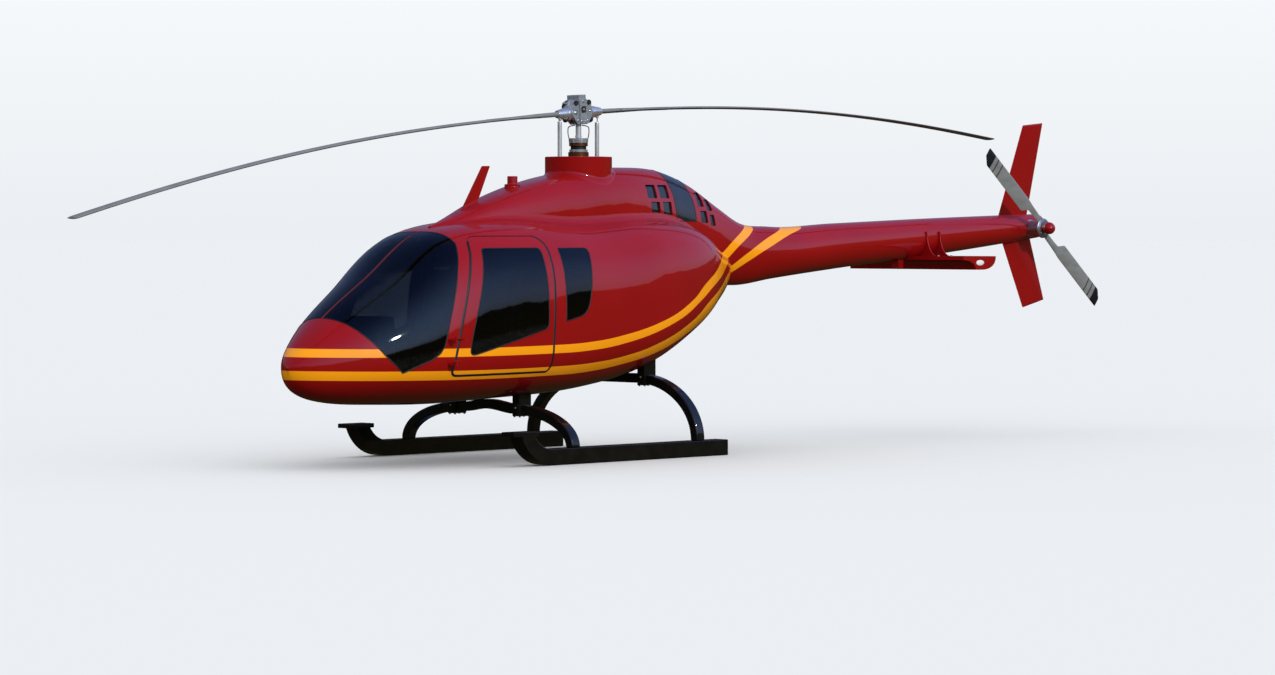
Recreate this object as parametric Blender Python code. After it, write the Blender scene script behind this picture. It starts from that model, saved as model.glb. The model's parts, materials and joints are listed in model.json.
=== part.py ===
"""Light single-turbine helicopter, parked on its skids, with open cabin and turning rotors.

Frame: metres, +X towards the nose, +Y to the helicopter's left, +Z up, ground at z = 0.
Inside this script lengths along X are counted from the main mast, and the whole
model hangs on one empty that puts the mast at x = MAST_X.
"""
import math

import bmesh
import bpy
import numpy as np
from mathutils import Matrix, Vector

# Overall driving dimensions
AHEAD, BEHIND = 5.7333, 7.3789   # from the mast to the front blade's tip and to the tail blade's tip
MAST_X = (BEHIND - AHEAD) / 2    # mast axis, ahead of the middle of the machine's length
GAP = 0.0003              # clearance between touching pieces
DOOR_GAP = 0.006          # gap round a door
WALL = 0.045              # cabin wall
DOOR_WALL = 0.030         # door thickness
SEAT_GAP = 0.0055         # clearance between a closed door and its jamb
PANE = 0.008              # window glass
COWL_WALL = 0.015         # engine cowling
BOOM_WALL = 0.012         # tail boom

# Cabin body: an egg drawn through stations along X
NOSE_X, TAIL_X = 3.505, -1.965
BODY_X = [NOSE_X, 3.26, 3.0, 2.6, 2.1, 1.35, 0.4, -0.4, -1.05, -1.55, TAIL_X]
BODY_HALF = [0.0, 0.346, 0.535, 0.700, 0.840, 0.922, 0.912, 0.862, 0.703, 0.417, 0.0]
BODY_LOW = [0.852, 0.600, 0.550, 0.530, 0.520, 0.548, 0.600, 0.740, 1.008, 1.258, 1.619]
BODY_HIGH = [0.852, 1.179, 1.381, 1.644, 1.992, 2.140, 2.120, 2.155, 2.100, 1.890, 1.619]
WIDEST_Z = [(3.3, 0.870), (0.0, 1.179), (TAIL_X, 1.749)]
ROUND_TOP = [(3.0, 2.16), (1.5, 3.12), (-1.5, 3.55)]
ROUND_LOW = [(3.0, 2.23), (1.0, 2.59), (-1.5, 1.90)]

# Upper loft: cowling, then the tail boom
UPPER_X = [1.86, 1.66, 1.27, 0.77, 0.20, -0.50, -1.00, -1.41, -1.80, -2.08, -2.57, -3.50, -5.00, -6.68]
UPPER_HALF = [0.03, 0.13, 0.25, 0.34, 0.388, 0.36, 0.275, 0.225, 0.215, 0.225, 0.245, 0.222, 0.188, 0.125]
UPPER_HIGH = [2.085, 2.148, 2.300, 2.458, 2.570, 2.625, 2.598,
              2.472, 2.270, 2.128, 2.079, 2.110, 2.162, 2.207]
UPPER_WIDE = [2.02, 2.04, 2.06, 2.08, 2.09, 2.09, 2.07, 1.98, 1.87, 1.83, 1.827, 1.887, 1.976, 2.083]
UPPER_LOW = [1.96, 1.90, 1.85, 1.80, 1.78, 1.76, 1.72, 1.62, 1.535, 1.520, 1.575, 1.665, 1.792, 1.962]
UPPER_ROUND = [2.4, 2.6, 3.0, 3.0, 3.2, 2.6, 2.1, 2.0, 2.0, 2.0, 2.0, 2.0, 2.0, 2.0]
BOOM_START = -2.10
COWL_GRID = (26, 28)
COWL_SPAN = (1.86, BOOM_START, 0, *COWL_GRID)
HOLLOW_SPAN = (1.55, BOOM_START - 0.05)
BAND = [(-0.90, 2.70), (-0.98, 2.51), (-1.012, 2.38), (-1.025, 2.22), (-1.02, 2.00),
        (-1.33, 2.00), (-1.34, 2.19), (-1.332, 2.33), (-1.30, 2.43), (-1.22, 2.70)]
BAND_LOW = 2.13
QUADS = [(-0.580, -0.735, 2.465, 2.340), (-0.785, -0.945, 2.465, 2.340), (-0.620, -0.765, 2.308, 2.182),
         (-0.815, -0.960, 2.308, 2.182), (-1.400, -1.500, 2.400, 2.265), (-1.540, -1.630, 2.335, 2.226),
         (-1.415, -1.520, 2.226, 2.113), (-1.555, -1.630, 2.190, 2.085)]

# Side-view outlines, x and z; the door corners past its rear edge lie outside the door
NOSE_EDGE = [(2.755, 0.823), (2.906, 0.978), (3.04, 1.165), (3.125, 1.300)]
GLASS_REAR = [(1.985, 2.05), (2.02, 1.93), (2.07, 1.85), (2.15, 1.70), (2.24, 1.49), (2.32, 1.28),
              (2.385, 1.05), (2.43, 0.985), (2.51, 0.93), (2.62, 0.885)]
DOOR_CORNERS = [(1.100, 2.000), (1.100, 0.800), (2.325, 0.785), (2.215, 1.29), (2.060, 1.69), (1.900, 2.000)]
DOOR_ROUNDS = [0, 0, 0.08, 0.9, 0.9, 0.10]
DOOR_REAR = [(1.50, 0.788), (1.2235, 0.788), (1.220, 1.03), (1.200, 1.33), (1.153, 2.010), (1.55, 2.010)]
DOOR_REAR_ROUNDS = [0, 0.09, 0, 0, 0.17, 0]
DOOR_LOW, DOOR_HIGH = 0.70, 2.10
DOOR_GLASS = [(1.255, 1.893), (1.285, 1.190), (2.150, 0.955), (2.105, 1.20), (1.945, 1.65), (1.850, 1.893)]
DOOR_GLASS_ROUNDS = [0.04, 0.05, 0.07, 0.6, 0.6, 0.04]
SIDE_GLASS = [(1.045, 1.890), (0.665, 1.890), (0.735, 1.52), (0.800, 1.310), (1.070, 1.245)]
SIDE_GLASS_ROUNDS = [0.02, 0.05, 0.5, 0.10, 0.02]
POST_HALF = 0.0125

# Landing gear
SKID_Y = 1.067
SKID_HIGH, SKID_WIDE = 0.1413, 0.165
SKID_REAR, SKID_BEND_X, SKID_BEND_R, SKID_TIP_Z = -0.780, 1.455, 0.400, 0.262
STEP_LOW_X, STEP_HIGH_X, STEP_THICK = 1.630, 1.925, 0.040
TUBE_X = {"front": 1.1315, "rear": -0.4616}
TUBE_TOP = {"front": 0.500, "rear": 0.730}
TUBE_CROWN = {"front": 0.035, "rear": 0.0}
TUBE_LONG, TUBE_THICK = 0.100, 0.085
CLAMP_Y = 0.42

# Rotors
HUB_Z = 3.120
DISC_TILT = math.radians(4.04)
ROTOR_TURN = math.radians(-1.1)
ROTOR_R = 5.787
BLADE_ROOT_R = 0.275
CHORD, BLADE_THICK, ROOT_CHORD, ROOT_THICK = 0.146, 0.036, 0.070, 0.056
DROOP = (0.304, 0.500, -0.241)
COLLAR_R, COLLAR_TOP = 0.307, 2.718
MAST_R, BALL_R = 0.026, 0.048
LINK_R, LINK_OUT = 0.020, 0.236
TAIL_HUB = (-6.455, 0.280, 2.060)
TAIL_R, TAIL_CHORD = 1.178, 0.172
TAIL_TURN = math.radians(39.4)
TAIL_RING, TAIL_RING_HALF, TAIL_CAP_R = 0.100, 0.0175, 0.062

PAINT = ("dark red gloss paint", (0.42, 0.012, 0.022), 0.18, 0.0)
GLASS = ("dark tinted glass", (0.012, 0.014, 0.018), 0.05, 0.0)
BLACK = ("gloss black steel", (0.012, 0.012, 0.013), 0.25, 0.0)
STEEL = ("polished steel", (0.62, 0.64, 0.67), 0.22, 1.0)
BLADE = ("grey blade paint", (0.20, 0.21, 0.22), 0.35, 0.3)
GREY = ("grey cabin trim", (0.10, 0.10, 0.11), 0.70, 0.0)
SEAT = ("seat cloth", (0.05, 0.05, 0.06), 0.85, 0.0)
GRILLE = ("dark grille", (0.010, 0.010, 0.012), 0.30, 0.0)
METAL = ("cast alloy", (0.45, 0.46, 0.48), 0.45, 1.0)


def clear_scene():
    for item in list(bpy.data.objects):
        bpy.data.objects.remove(item, do_unlink=True)


def collection(name):
    made = bpy.data.collections.new(name)
    bpy.context.scene.collection.children.link(made)
    return made


clear_scene()
PARTS = collection("helicopter")
CUTTERS = collection("cutters")
MATERIALS = {}


def material(finish):
    name, colour, roughness, metallic = finish
    if name not in MATERIALS:
        made = bpy.data.materials.new(name)
        made.use_nodes = True
        shader = made.node_tree.nodes["Principled BSDF"]
        shader.inputs["Base Color"].default_value = (*colour, 1.0)
        shader.inputs["Roughness"].default_value = roughness
        shader.inputs["Metallic"].default_value = metallic
        MATERIALS[name] = made
    return MATERIALS[name]


def empty(name, place=(0, 0, 0), parent=None, turn=(0, 0, 0)):
    made = bpy.data.objects.new(name, None)
    made.location = place
    made.rotation_euler = turn
    made.parent = parent
    PARTS.objects.link(made)
    return made


FRAME = empty("helicopter_frame", (MAST_X, 0, 0))


def add_part(name, mesh, finish, parent=None):
    made = bpy.data.objects.new(name, mesh)
    PARTS.objects.link(made)
    made.data.materials.append(material(finish))
    made.parent = parent or FRAME
    if parent:
        made.location = -parent.location
    return made


def add_cutter(name, mesh):
    made = bpy.data.objects.new(name, mesh)
    CUTTERS.objects.link(made)
    made.parent = FRAME
    made.hide_render = True
    made.display_type = "WIRE"
    return made


def boolean(target, cutter, operation="DIFFERENCE"):
    step = target.modifiers.new(operation.lower() + " " + cutter.name, "BOOLEAN")
    step.operation = operation
    step.solver = "EXACT"
    step.object = cutter
    return target


def smooth_shade(mesh, angle=35):
    mesh.shade_smooth()
    mesh.set_sharp_from_angle(angle=math.radians(angle))


def from_bmesh(name, bm):
    bmesh.ops.recalc_face_normals(bm, faces=bm.faces)
    mesh = bpy.data.meshes.new(name)
    bm.to_mesh(mesh)
    bm.free()
    smooth_shade(mesh)
    return mesh


def curve_through(u, us, vs):
    """Cubic Hermite curve through the points, each slope the weighted mean of its two chords."""
    us, vs, u = np.asarray(us, float), np.asarray(vs, float), np.asarray(u, float)
    step = np.diff(us)
    chord = np.diff(vs) / step
    slope = np.empty_like(vs)
    slope[1:-1] = (chord[:-1] * step[1:] + chord[1:] * step[:-1]) / (step[:-1] + step[1:])
    slope[0] = 2 * chord[0] - slope[1]
    slope[-1] = 2 * chord[-1] - slope[-2]
    k = np.clip(np.searchsorted(us, u) - 1, 0, len(us) - 2)
    s = (u - us[k]) / step[k]
    return ((2 * s**3 - 3 * s**2 + 1) * vs[k] + (s**3 - 2 * s**2 + s) * step[k] * slope[k]
            + (3 * s**2 - 2 * s**3) * vs[k + 1] + (s**3 - s**2) * step[k] * slope[k + 1])


def between(x, points):
    """Straight-line values between (x, value) points given from nose to tail."""
    xs = [p[0] for p in points][::-1]
    return np.interp(x, xs, [p[1] for p in points][::-1])


def loft_mesh(name, rings, ends=None):
    """Closed skin over rings of points; each end is a pole point or a flat cap."""
    bm = bmesh.new()
    loops = [[bm.verts.new(p) for p in ring] for ring in rings]
    count = len(rings[0])
    for a, b in zip(loops[:-1], loops[1:]):
        for j in range(count):
            k = (j + 1) % count
            if (4 * j // count) % 2:
                bm.faces.new((a[j], a[k], b[j]))
                bm.faces.new((a[k], b[k], b[j]))
            else:
                bm.faces.new((a[j], a[k], b[k]))
                bm.faces.new((a[j], b[k], b[j]))
    for loop, pole in ((loops[0], ends[0] if ends else None), (loops[-1], ends[1] if ends else None)):
        if pole is None:
            bm.faces.new(loop)
        else:
            tip = bm.verts.new(pole)
            for j in range(count):
                bm.faces.new((loop[j], loop[(j + 1) % count], tip))
    return from_bmesh(name, bm)


def superellipse(x, half, low, high, widest, top_power, low_power, count):
    angle = np.linspace(0, 2 * math.pi, count, endpoint=False)
    c, s = np.cos(angle), np.sin(angle)
    power = np.where(s >= 0, top_power, low_power)
    y = half * np.sign(c) * np.abs(c) ** (2 / power)
    rise = np.where(s >= 0, high - widest, widest - low)
    z = widest + np.sign(s) * rise * np.abs(s) ** (2 / power)
    return [(x, float(a), float(b)) for a, b in zip(y, z)]


MIDDLE, REACH = (NOSE_X + TAIL_X) / 2, (NOSE_X - TAIL_X) / 2


def body_section(x):
    """Half width, lowest and highest point of the body at x, read over the arc angle of an ellipse."""
    stations = np.arccos(np.clip((np.array(BODY_X) - MIDDLE) / REACH, -1, 1))
    t = np.arccos(np.clip((np.asarray(x, float) - MIDDLE) / REACH, -1, 1))
    return [curve_through(t, stations, values) for values in (BODY_HALF, BODY_LOW, BODY_HIGH)]


def skin_half(x, z):
    """Distance of the skin from the middle plane at x and z."""
    half, low, high = (float(v) for v in body_section(x))
    widest = between(x, WIDEST_Z)
    power = between(x, ROUND_TOP if z > widest else ROUND_LOW)
    share = (z - widest) / (high - widest) if z > widest else (widest - z) / (widest - low)
    return half * (1 - min(share, 0.999) ** power) ** (1 / power)


def body_mesh(name, inset=0.0, steps=30, around=36):
    """The cabin egg, drawn in by inset; stations crowd towards both ends, which are round."""
    t = np.linspace(0, math.pi, steps + 2)[1:-1]
    x = MIDDLE + REACH * np.cos(t)
    half, low, high = body_section(x)
    half, low, high = half - inset, low + inset, high - inset
    placed = MIDDLE + (REACH - inset) * np.cos(t)
    rings = []
    for i in range(len(t)):
        if half[i] < 0.02 or high[i] - low[i] < 0.04:
            continue
        widest = min(max(between(x[i], WIDEST_Z), low[i] + 0.02), high[i] - 0.02)
        rings.append(superellipse(placed[i], half[i], low[i], high[i], widest,
                                  between(x[i], ROUND_TOP), between(x[i], ROUND_LOW), around))
    nose = (MIDDLE + REACH - inset, 0, BODY_LOW[0])
    tail = (MIDDLE - REACH + inset, 0, BODY_LOW[-1])
    return loft_mesh(name, rings, (nose, tail))


def upper_mesh(name, first, last, inset=0.0, steps=20, around=28):
    """The cowling and boom loft between two places along X."""
    xs = np.linspace(first, last, steps)
    stations = -np.array(UPPER_X)
    half, high, widest, low, power = [curve_through(-xs, stations, values) for values in (
        UPPER_HALF, UPPER_HIGH, UPPER_WIDE, UPPER_LOW, UPPER_ROUND)]
    rings = []
    for i, x in enumerate(xs):
        w, top, bottom = max(half[i] - inset, 0.004), high[i] - inset, low[i] + inset
        middle = min(max(widest[i], bottom + 0.01), top - 0.01)
        rings.append(superellipse(float(x), w, bottom, top, middle, power[i], power[i], around))
    return loft_mesh(name, rings)


def rounded(corners, rounds, steps=5):
    """A closed outline whose corners are eased by quadratic arcs reaching 'round' along each side."""
    points = []
    count = len(corners)
    for i in range(count):
        here = Vector(corners[i])
        if rounds[i] == 0:
            points.append(tuple(here))
            continue
        to_last = Vector(corners[i - 1]) - here
        to_next = Vector(corners[(i + 1) % count]) - here
        reach_in = min(rounds[i], 0.45 * to_last.length)
        reach_out = min(rounds[i], 0.45 * to_next.length)
        a = here + to_last.normalized() * reach_in
        b = here + to_next.normalized() * reach_out
        for k in range(steps + 1):
            s = k / steps
            points.append(tuple(a * (1 - s) ** 2 + here * 2 * s * (1 - s) + b * s**2))
    return points


def grown(points, by):
    """The outline moved outwards by a distance, or inwards where it is negative."""
    pts = [Vector(p) for p in points]
    count = len(pts)
    area = sum(pts[i - 1].cross(pts[i]) for i in range(count)) / 2
    side = 1 if area > 0 else -1
    moved = []
    for i in range(count):
        before = (pts[i] - pts[i - 1]).normalized()
        after = (pts[(i + 1) % count] - pts[i]).normalized()
        n1 = Vector((before.y, -before.x)) * side
        n2 = Vector((after.y, -after.x)) * side
        n = (n1 + n2).normalized()
        moved.append(tuple(pts[i] + n * by / max(n.dot(n1), 0.5)))
    return moved


def flat_outline(name, points, half, frame=Matrix.Identity(4)):
    """A 2D curve filled on both sides and extruded by half its thickness, made a mesh."""
    curve = bpy.data.curves.new(name, "CURVE")
    curve.dimensions = "2D"
    curve.fill_mode = "BOTH"
    curve.extrude = half
    spline = curve.splines.new("POLY")
    spline.points.add(len(points) - 1)
    for point, (u, v) in zip(spline.points, points):
        point.co = (u, v, 0, 1)
    spline.use_cyclic_u = True
    holder = bpy.data.objects.new(name, curve)
    CUTTERS.objects.link(holder)
    bpy.context.view_layer.update()
    shaped = holder.evaluated_get(bpy.context.evaluated_depsgraph_get())
    mesh = bpy.data.meshes.new_from_object(shaped)
    bm = bmesh.new()
    bm.from_mesh(mesh)
    bmesh.ops.remove_doubles(bm, verts=bm.verts, dist=0.00005)
    bmesh.ops.transform(bm, matrix=frame, verts=bm.verts)
    bpy.data.objects.remove(holder, do_unlink=True)
    bpy.data.meshes.remove(mesh)
    return from_bmesh(name, bm)


# Curve plane to the side view (x, z), pushed along Y; and to the front view (y, z), pushed along X
SIDE = Matrix(((1, 0, 0, 0), (0, 0, 1, 0), (0, 1, 0, 0), (0, 0, 0, 1)))
FRONT = Matrix(((0, 0, 1, 0), (1, 0, 0, 0), (0, 1, 0, 0), (0, 0, 0, 1)))


def side_prism(name, points, y_low, y_high):
    frame = Matrix.Translation((0, (y_low + y_high) / 2, 0)) @ SIDE
    return flat_outline(name, points, (y_high - y_low) / 2, frame)


def front_prism(name, points, x_low, x_high):
    frame = Matrix.Translation(((x_low + x_high) / 2, 0, 0)) @ FRONT
    return flat_outline(name, points, (x_high - x_low) / 2, frame)


def box_mesh(name, low, high):
    bm = bmesh.new()
    size = [b - a for a, b in zip(low, high)]
    place = Matrix.Translation([(a + b) / 2 for a, b in zip(low, high)])
    bmesh.ops.create_cube(bm, size=1.0, matrix=place @ Matrix.Diagonal((*size, 1)))
    return from_bmesh(name, bm)


def rod_bmesh(bm, start, end, r1, r2=None, sides=24):
    start, end = Vector(start), Vector(end)
    turn = (end - start).to_track_quat("Z", "Y").to_matrix().to_4x4()
    place = Matrix.Translation((start + end) / 2) @ turn
    bmesh.ops.create_cone(bm, cap_ends=True, segments=sides, radius1=r1, radius2=r1 if r2 is None else r2,
                          depth=(end - start).length, matrix=place)


def rod_mesh(name, start, end, r1, r2=None, sides=24):
    bm = bmesh.new()
    rod_bmesh(bm, start, end, r1, r2, sides)
    return from_bmesh(name, bm)


def turned_mesh(name, profile, centre, sides=32):
    """A profile of (radius, height) spun about a vertical axis; a radius of 0 is a pole, else it closes."""
    bm = bmesh.new()
    rings = []
    for radius, height in profile:
        if radius == 0:
            rings.append([bm.verts.new((centre[0], centre[1], centre[2] + height))])
            continue
        ring = []
        for k in range(sides):
            angle = 2 * math.pi * k / sides
            ring.append(bm.verts.new((centre[0] + radius * math.cos(angle),
                                      centre[1] + radius * math.sin(angle), centre[2] + height)))
        rings.append(ring)
    pairs = list(zip(rings, rings[1:]))
    if len(rings[0]) > 1:
        pairs.append((rings[-1], rings[0]))
    for a, b in pairs:
        for k in range(sides):
            m = (k + 1) % sides
            if len(a) == 1:
                bm.faces.new((a[0], b[m], b[k]))
            elif len(b) == 1:
                bm.faces.new((a[k], a[m], b[0]))
            else:
                bm.faces.new((a[k], a[m], b[m], b[k]))
    return from_bmesh(name, bm)


# Cabin shell with its openings
def mirror_y(points_low_high, side):
    low, high = points_low_high
    return (low, high) if side > 0 else (-high, -low)


WINDSHIELD_OUTLINE = NOSE_EDGE + [(3.45, 1.75), (3.0, 2.45), (1.985, 2.45)] + GLASS_REAR
NOSE_OUTLINE = [(2.755, 0.20), (4.0, 0.20), (4.0, 1.70), (3.30, 1.52)] + NOSE_EDGE[::-1]
DOOR_OUTLINE = rounded(DOOR_CORNERS, DOOR_ROUNDS)
DOOR_EDGE = rounded(DOOR_REAR, DOOR_REAR_ROUNDS)
DOOR_GLASS_OUTLINE = rounded(DOOR_GLASS, DOOR_GLASS_ROUNDS)
SIDE_GLASS_OUTLINE = rounded(SIDE_GLASS, SIDE_GLASS_ROUNDS)
SIDES = {"left": 1, "right": -1}
JAMB = 0.022
SIDE_REACH = (0.30, 1.30)

body_gap = add_cutter("body_gap", body_mesh("body_gap", -GAP))
body_inner = add_cutter("body_inner", body_mesh("body_inner", WALL, 26, 32))
door_inner = add_cutter("door_inner", body_mesh("door_inner", DOOR_WALL, 30, 36))
door_seat = add_cutter("door_seat", body_mesh("door_seat", DOOR_WALL + SEAT_GAP, 30, 36))
pane_inner = add_cutter("pane_inner", body_mesh("pane_inner", PANE, 30, 36))


def opening_cutter(name, outline, sides=("left", "right")):
    """One prism for each side, cut through the cabin wall."""
    return [add_cutter(name + "_" + s, side_prism(name, outline, *mirror_y(SIDE_REACH, SIDES[s])))
            for s in sides]


def windshield_cutter(name, outline):
    """The windshield prism with the centre post left standing."""
    pair = []
    for s in ("left", "right"):
        low, high = mirror_y((POST_HALF, 1.30), SIDES[s])
        pair.append(add_cutter(name + "_" + s, side_prism(name, outline, low, high)))
    return pair


def cabin():
    shell = add_part("cabin_shell", body_mesh("cabin_shell"), PAINT)
    boolean(shell, body_inner)
    nose_cut = add_cutter("nose_cut", side_prism("nose_cut", grown(NOSE_OUTLINE, GAP), -1.3, 1.3))
    boolean(shell, nose_cut)
    for cutter in windshield_cutter("windshield_cut", WINDSHIELD_OUTLINE):
        boolean(shell, cutter)
    for cutter, sign in zip(opening_cutter("door_way", grown(DOOR_OUTLINE, -JAMB)), SIDES.values()):
        boolean(cutter, door_drum("way_drum_%+d" % sign, sign, JAMB + 0.02), "INTERSECT")
        boolean(shell, cutter)
    for cutter, sign in zip(opening_cutter("door_rebate", DOOR_OUTLINE), SIDES.values()):
        boolean(cutter, door_seat)
        boolean(cutter, door_drum("rebate_drum_%+d" % sign, sign, 0), "INTERSECT")
        boolean(shell, cutter)
    for cutter in opening_cutter("side_glass_cut", SIDE_GLASS_OUTLINE):
        boolean(shell, cutter)
    nose = add_part("nose_shell", body_mesh("nose_shell"), PAINT)
    boolean(nose, body_inner)
    nose_keep = add_cutter("nose_keep", side_prism("nose_keep", NOSE_OUTLINE, -1.3, 1.3))
    boolean(nose, nose_keep, "INTERSECT")


def panes():
    for s, sign in SIDES.items():
        low, high = mirror_y((POST_HALF + GAP, 1.3), sign)
        keep = add_cutter("windshield_keep_" + s,
                          side_prism("windshield_keep", grown(WINDSHIELD_OUTLINE, -GAP), low, high))
        pane = add_part("windshield_" + s, body_mesh("windshield_" + s), GLASS)
        boolean(pane, pane_inner)
        boolean(pane, keep, "INTERSECT")
        keep = side_prism("side_glass_keep", grown(SIDE_GLASS_OUTLINE, -GAP), *mirror_y(SIDE_REACH, sign))
        keep = add_cutter("side_glass_keep_" + s, keep)
        pane = add_part("side_window_" + s, body_mesh("side_window_" + s), GLASS)
        boolean(pane, pane_inner)
        boolean(pane, keep, "INTERSECT")


HINGE_X, HINGE_Y = 2.338, 0.858
HINGE_HEIGHTS = {"low": 0.915, "high": 1.120}
PIN_R, KNUCKLE_R, LUG = 0.007, 0.017, 0.018


def door_drum(name, side, less):
    """The solid that the closing edge of a door sweeps about its hinge, drawn in by a distance."""
    edge = []
    for (x1, z1), (x2, z2) in zip(DOOR_EDGE, DOOR_EDGE[1:]):
        steps = max(1, round(math.hypot(x2 - x1, z2 - z1) / 0.10))
        edge += [(x1 + (x2 - x1) * k / steps, z1 + (z2 - z1) * k / steps) for k in range(steps)]
    edge = [(DOOR_EDGE[0][0], DOOR_LOW)] + edge + [DOOR_EDGE[-1], (DOOR_EDGE[-1][0], DOOR_HIGH)]
    profile = [(math.hypot(HINGE_X - x, HINGE_Y - skin_half(x, min(max(z, 0.75), 2.05))), z) for x, z in edge]
    profile = grown([(0, DOOR_LOW)] + profile + [(0, DOOR_HIGH)], -less)
    profile = [(0, profile[0][1])] + profile[1:-1] + [(0, profile[-1][1])]
    return add_cutter(name, turned_mesh(name, profile, (HINGE_X, side * HINGE_Y, 0), 128))


def doors():
    for s, sign in SIDES.items():
        axis = empty("door_%s_hinge" % s, (HINGE_X, sign * HINGE_Y, 0), FRAME)
        reach = mirror_y(SIDE_REACH, sign)
        keep = side_prism("door_keep", grown(DOOR_OUTLINE, -DOOR_GAP), *reach)
        keep = add_cutter("door_keep_" + s, keep)
        boolean(keep, door_drum("door_drum_" + s, sign, DOOR_GAP), "INTERSECT")
        hole = side_prism("door_glass_cut", DOOR_GLASS_OUTLINE, *reach)
        hole = add_cutter("door_glass_cut_" + s, hole)
        door = add_part("door_" + s, body_mesh("door_" + s), PAINT, axis)
        boolean(door, door_inner)
        boolean(door, keep, "INTERSECT")
        boolean(door, hole)
        keep = side_prism("door_glass_keep", grown(DOOR_GLASS_OUTLINE, -GAP), *reach)
        keep = add_cutter("door_glass_keep_" + s, keep)
        pane = add_part("door_window_" + s, body_mesh("door_window_" + s), GLASS, axis)
        boolean(pane, pane_inner)
        boolean(pane, keep, "INTERSECT")
        for level, z in HINGE_HEIGHTS.items():
            hinge(level, s, sign, z, door)


def hinge_rod(name, sign, low, high, radius, sides):
    ends = ((HINGE_X, sign * HINGE_Y, low), (HINGE_X, sign * HINGE_Y, high))
    return add_cutter(name, rod_mesh(name, *ends, radius, sides=sides))


def hinge(level, s, sign, z, door):
    """A lug with a pin on the cabin, and an arm with an eye on the door."""
    inboard = skin_half(HINGE_X, z) - 0.02
    name = "hinge_lug_%s_%s" % (level, s)
    low, high = mirror_y((inboard, HINGE_Y), sign)
    top = z - LUG / 2 - 0.001
    lug = box_mesh(name, (HINGE_X - 0.006, low, top - 0.020), (HINGE_X + 0.020, high, top))
    lug = add_part(name, lug, PAINT)
    boolean(lug, hinge_rod("boss_" + name, sign, top - 0.020, top, KNUCKLE_R, 20), "UNION")
    boolean(lug, hinge_rod("pin_" + name, sign, top - 0.009, z + LUG / 2 + 0.006, PIN_R, 16), "UNION")
    boolean(lug, body_gap)
    name = "hinge_arm_%s_%s" % (level, s)
    (x_low, z_low), (x_high, z_high) = DOOR_CORNERS[2], DOOR_CORNERS[3]
    edge = x_low + (x_high - x_low) * (z - z_low) / (z_high - z_low) - DOOR_GAP - 0.002
    skin = skin_half(edge, z)
    ends = [(HINGE_X, HINGE_Y - KNUCKLE_R), (HINGE_X, HINGE_Y + KNUCKLE_R), (edge - 0.02, skin + 0.018),
            (edge - 0.07, skin + 0.01), (edge - 0.07, skin - 0.005), (edge - 0.003, skin - 0.005),
            (edge - 0.001, skin + 0.012)]
    frame = Matrix.Translation((0, 0, z)) @ Matrix.Diagonal((1, sign, 1, 1))
    arm = add_cutter(name, flat_outline(name, ends, LUG / 2, frame))
    boolean(arm, hinge_rod("knuckle_" + name, sign, z - LUG / 2, z + LUG / 2, KNUCKLE_R, 20), "UNION")
    boolean(arm, hinge_rod("bore_" + name, sign, z - LUG, z + LUG, PIN_R + 0.001, 16))
    boolean(door, arm, "UNION")


# Cowling, boom and tail
def upper_works():
    cowl = add_part("cowling", upper_mesh("cowling", *COWL_SPAN), PAINT)
    inner = add_cutter("cowl_inner", upper_mesh("cowl_inner", *HOLLOW_SPAN, COWL_WALL, *COWL_GRID))
    boolean(cowl, inner)
    band = add_part("grille_band", upper_mesh("grille_band", *COWL_SPAN), GRILLE)
    boolean(band, inner)
    boolean(band, add_cutter("band_keep", side_prism("band_keep", grown(BAND, -GAP), -0.6, 0.6)), "INTERSECT")
    boolean(band, add_cutter("band_base", box_mesh("band_base", (-2, -1, 1.5), (0, 1, BAND_LOW + GAP))))
    slot = add_cutter("band_slot", side_prism("band_slot", BAND, -0.6, 0.6))
    boolean(slot, add_cutter("slot_base", box_mesh("slot_base", (-2, -1, 1.5), (0, 1, BAND_LOW))))
    boolean(cowl, slot)
    for k, (x_high, x_low, z_high, z_low) in enumerate(QUADS):
        for s, sign in SIDES.items():
            y_low, y_high = mirror_y((0.05, 0.6), sign)
            name = "quad_%d_%s" % (k, s)
            outline = [(x_high, z_high), (x_low, z_high), (x_low, z_low), (x_high, z_low)]
            boolean(cowl, add_cutter(name, side_prism(name, outline, y_low, y_high)))
    boolean(cowl, body_gap)
    screen = upper_mesh("engine_screen", *HOLLOW_SPAN, COWL_WALL + GAP, *COWL_GRID)
    screen = add_part("engine_screen", screen, GRILLE)
    screen_inner = upper_mesh("screen_inner", *HOLLOW_SPAN, COWL_WALL + 0.008, *COWL_GRID)
    keep = add_cutter("screen_keep", box_mesh("screen_keep", (-1.72, -1, 2.04), (-0.50, 1, 3)))
    boolean(screen, keep, "INTERSECT")
    boolean(screen, add_cutter("screen_inner", screen_inner))
    boolean(screen, body_gap)
    well = rod_mesh("collar_well", (0, 0, 2.2), (0, 0, 3.0), COLLAR_R - 0.02, sides=32)
    boolean(cowl, add_cutter("collar_well", well))
    boom = add_part("tail_boom", upper_mesh("tail_boom", BOOM_START - GAP, UPPER_X[-1], 0, 14, 24), PAINT)
    hollow = upper_mesh("boom_inner", BOOM_START + 0.1, UPPER_X[-1] + 0.08, BOOM_WALL, 14, 24)
    boolean(boom, add_cutter("boom_inner", hollow))
    collar = add_part("mast_collar", turned_mesh("mast_collar", [
        (COLLAR_R - 0.012, -0.30), (COLLAR_R, -0.30), (COLLAR_R, 0), (COLLAR_R - 0.012, 0)],
        (0, 0, COLLAR_TOP), 40), PAINT)
    cowl_gap = add_cutter("cowl_gap", upper_mesh("cowl_gap", COWL_SPAN[0], BOOM_START, -GAP, *COWL_GRID))
    boolean(collar, cowl_gap)


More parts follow.
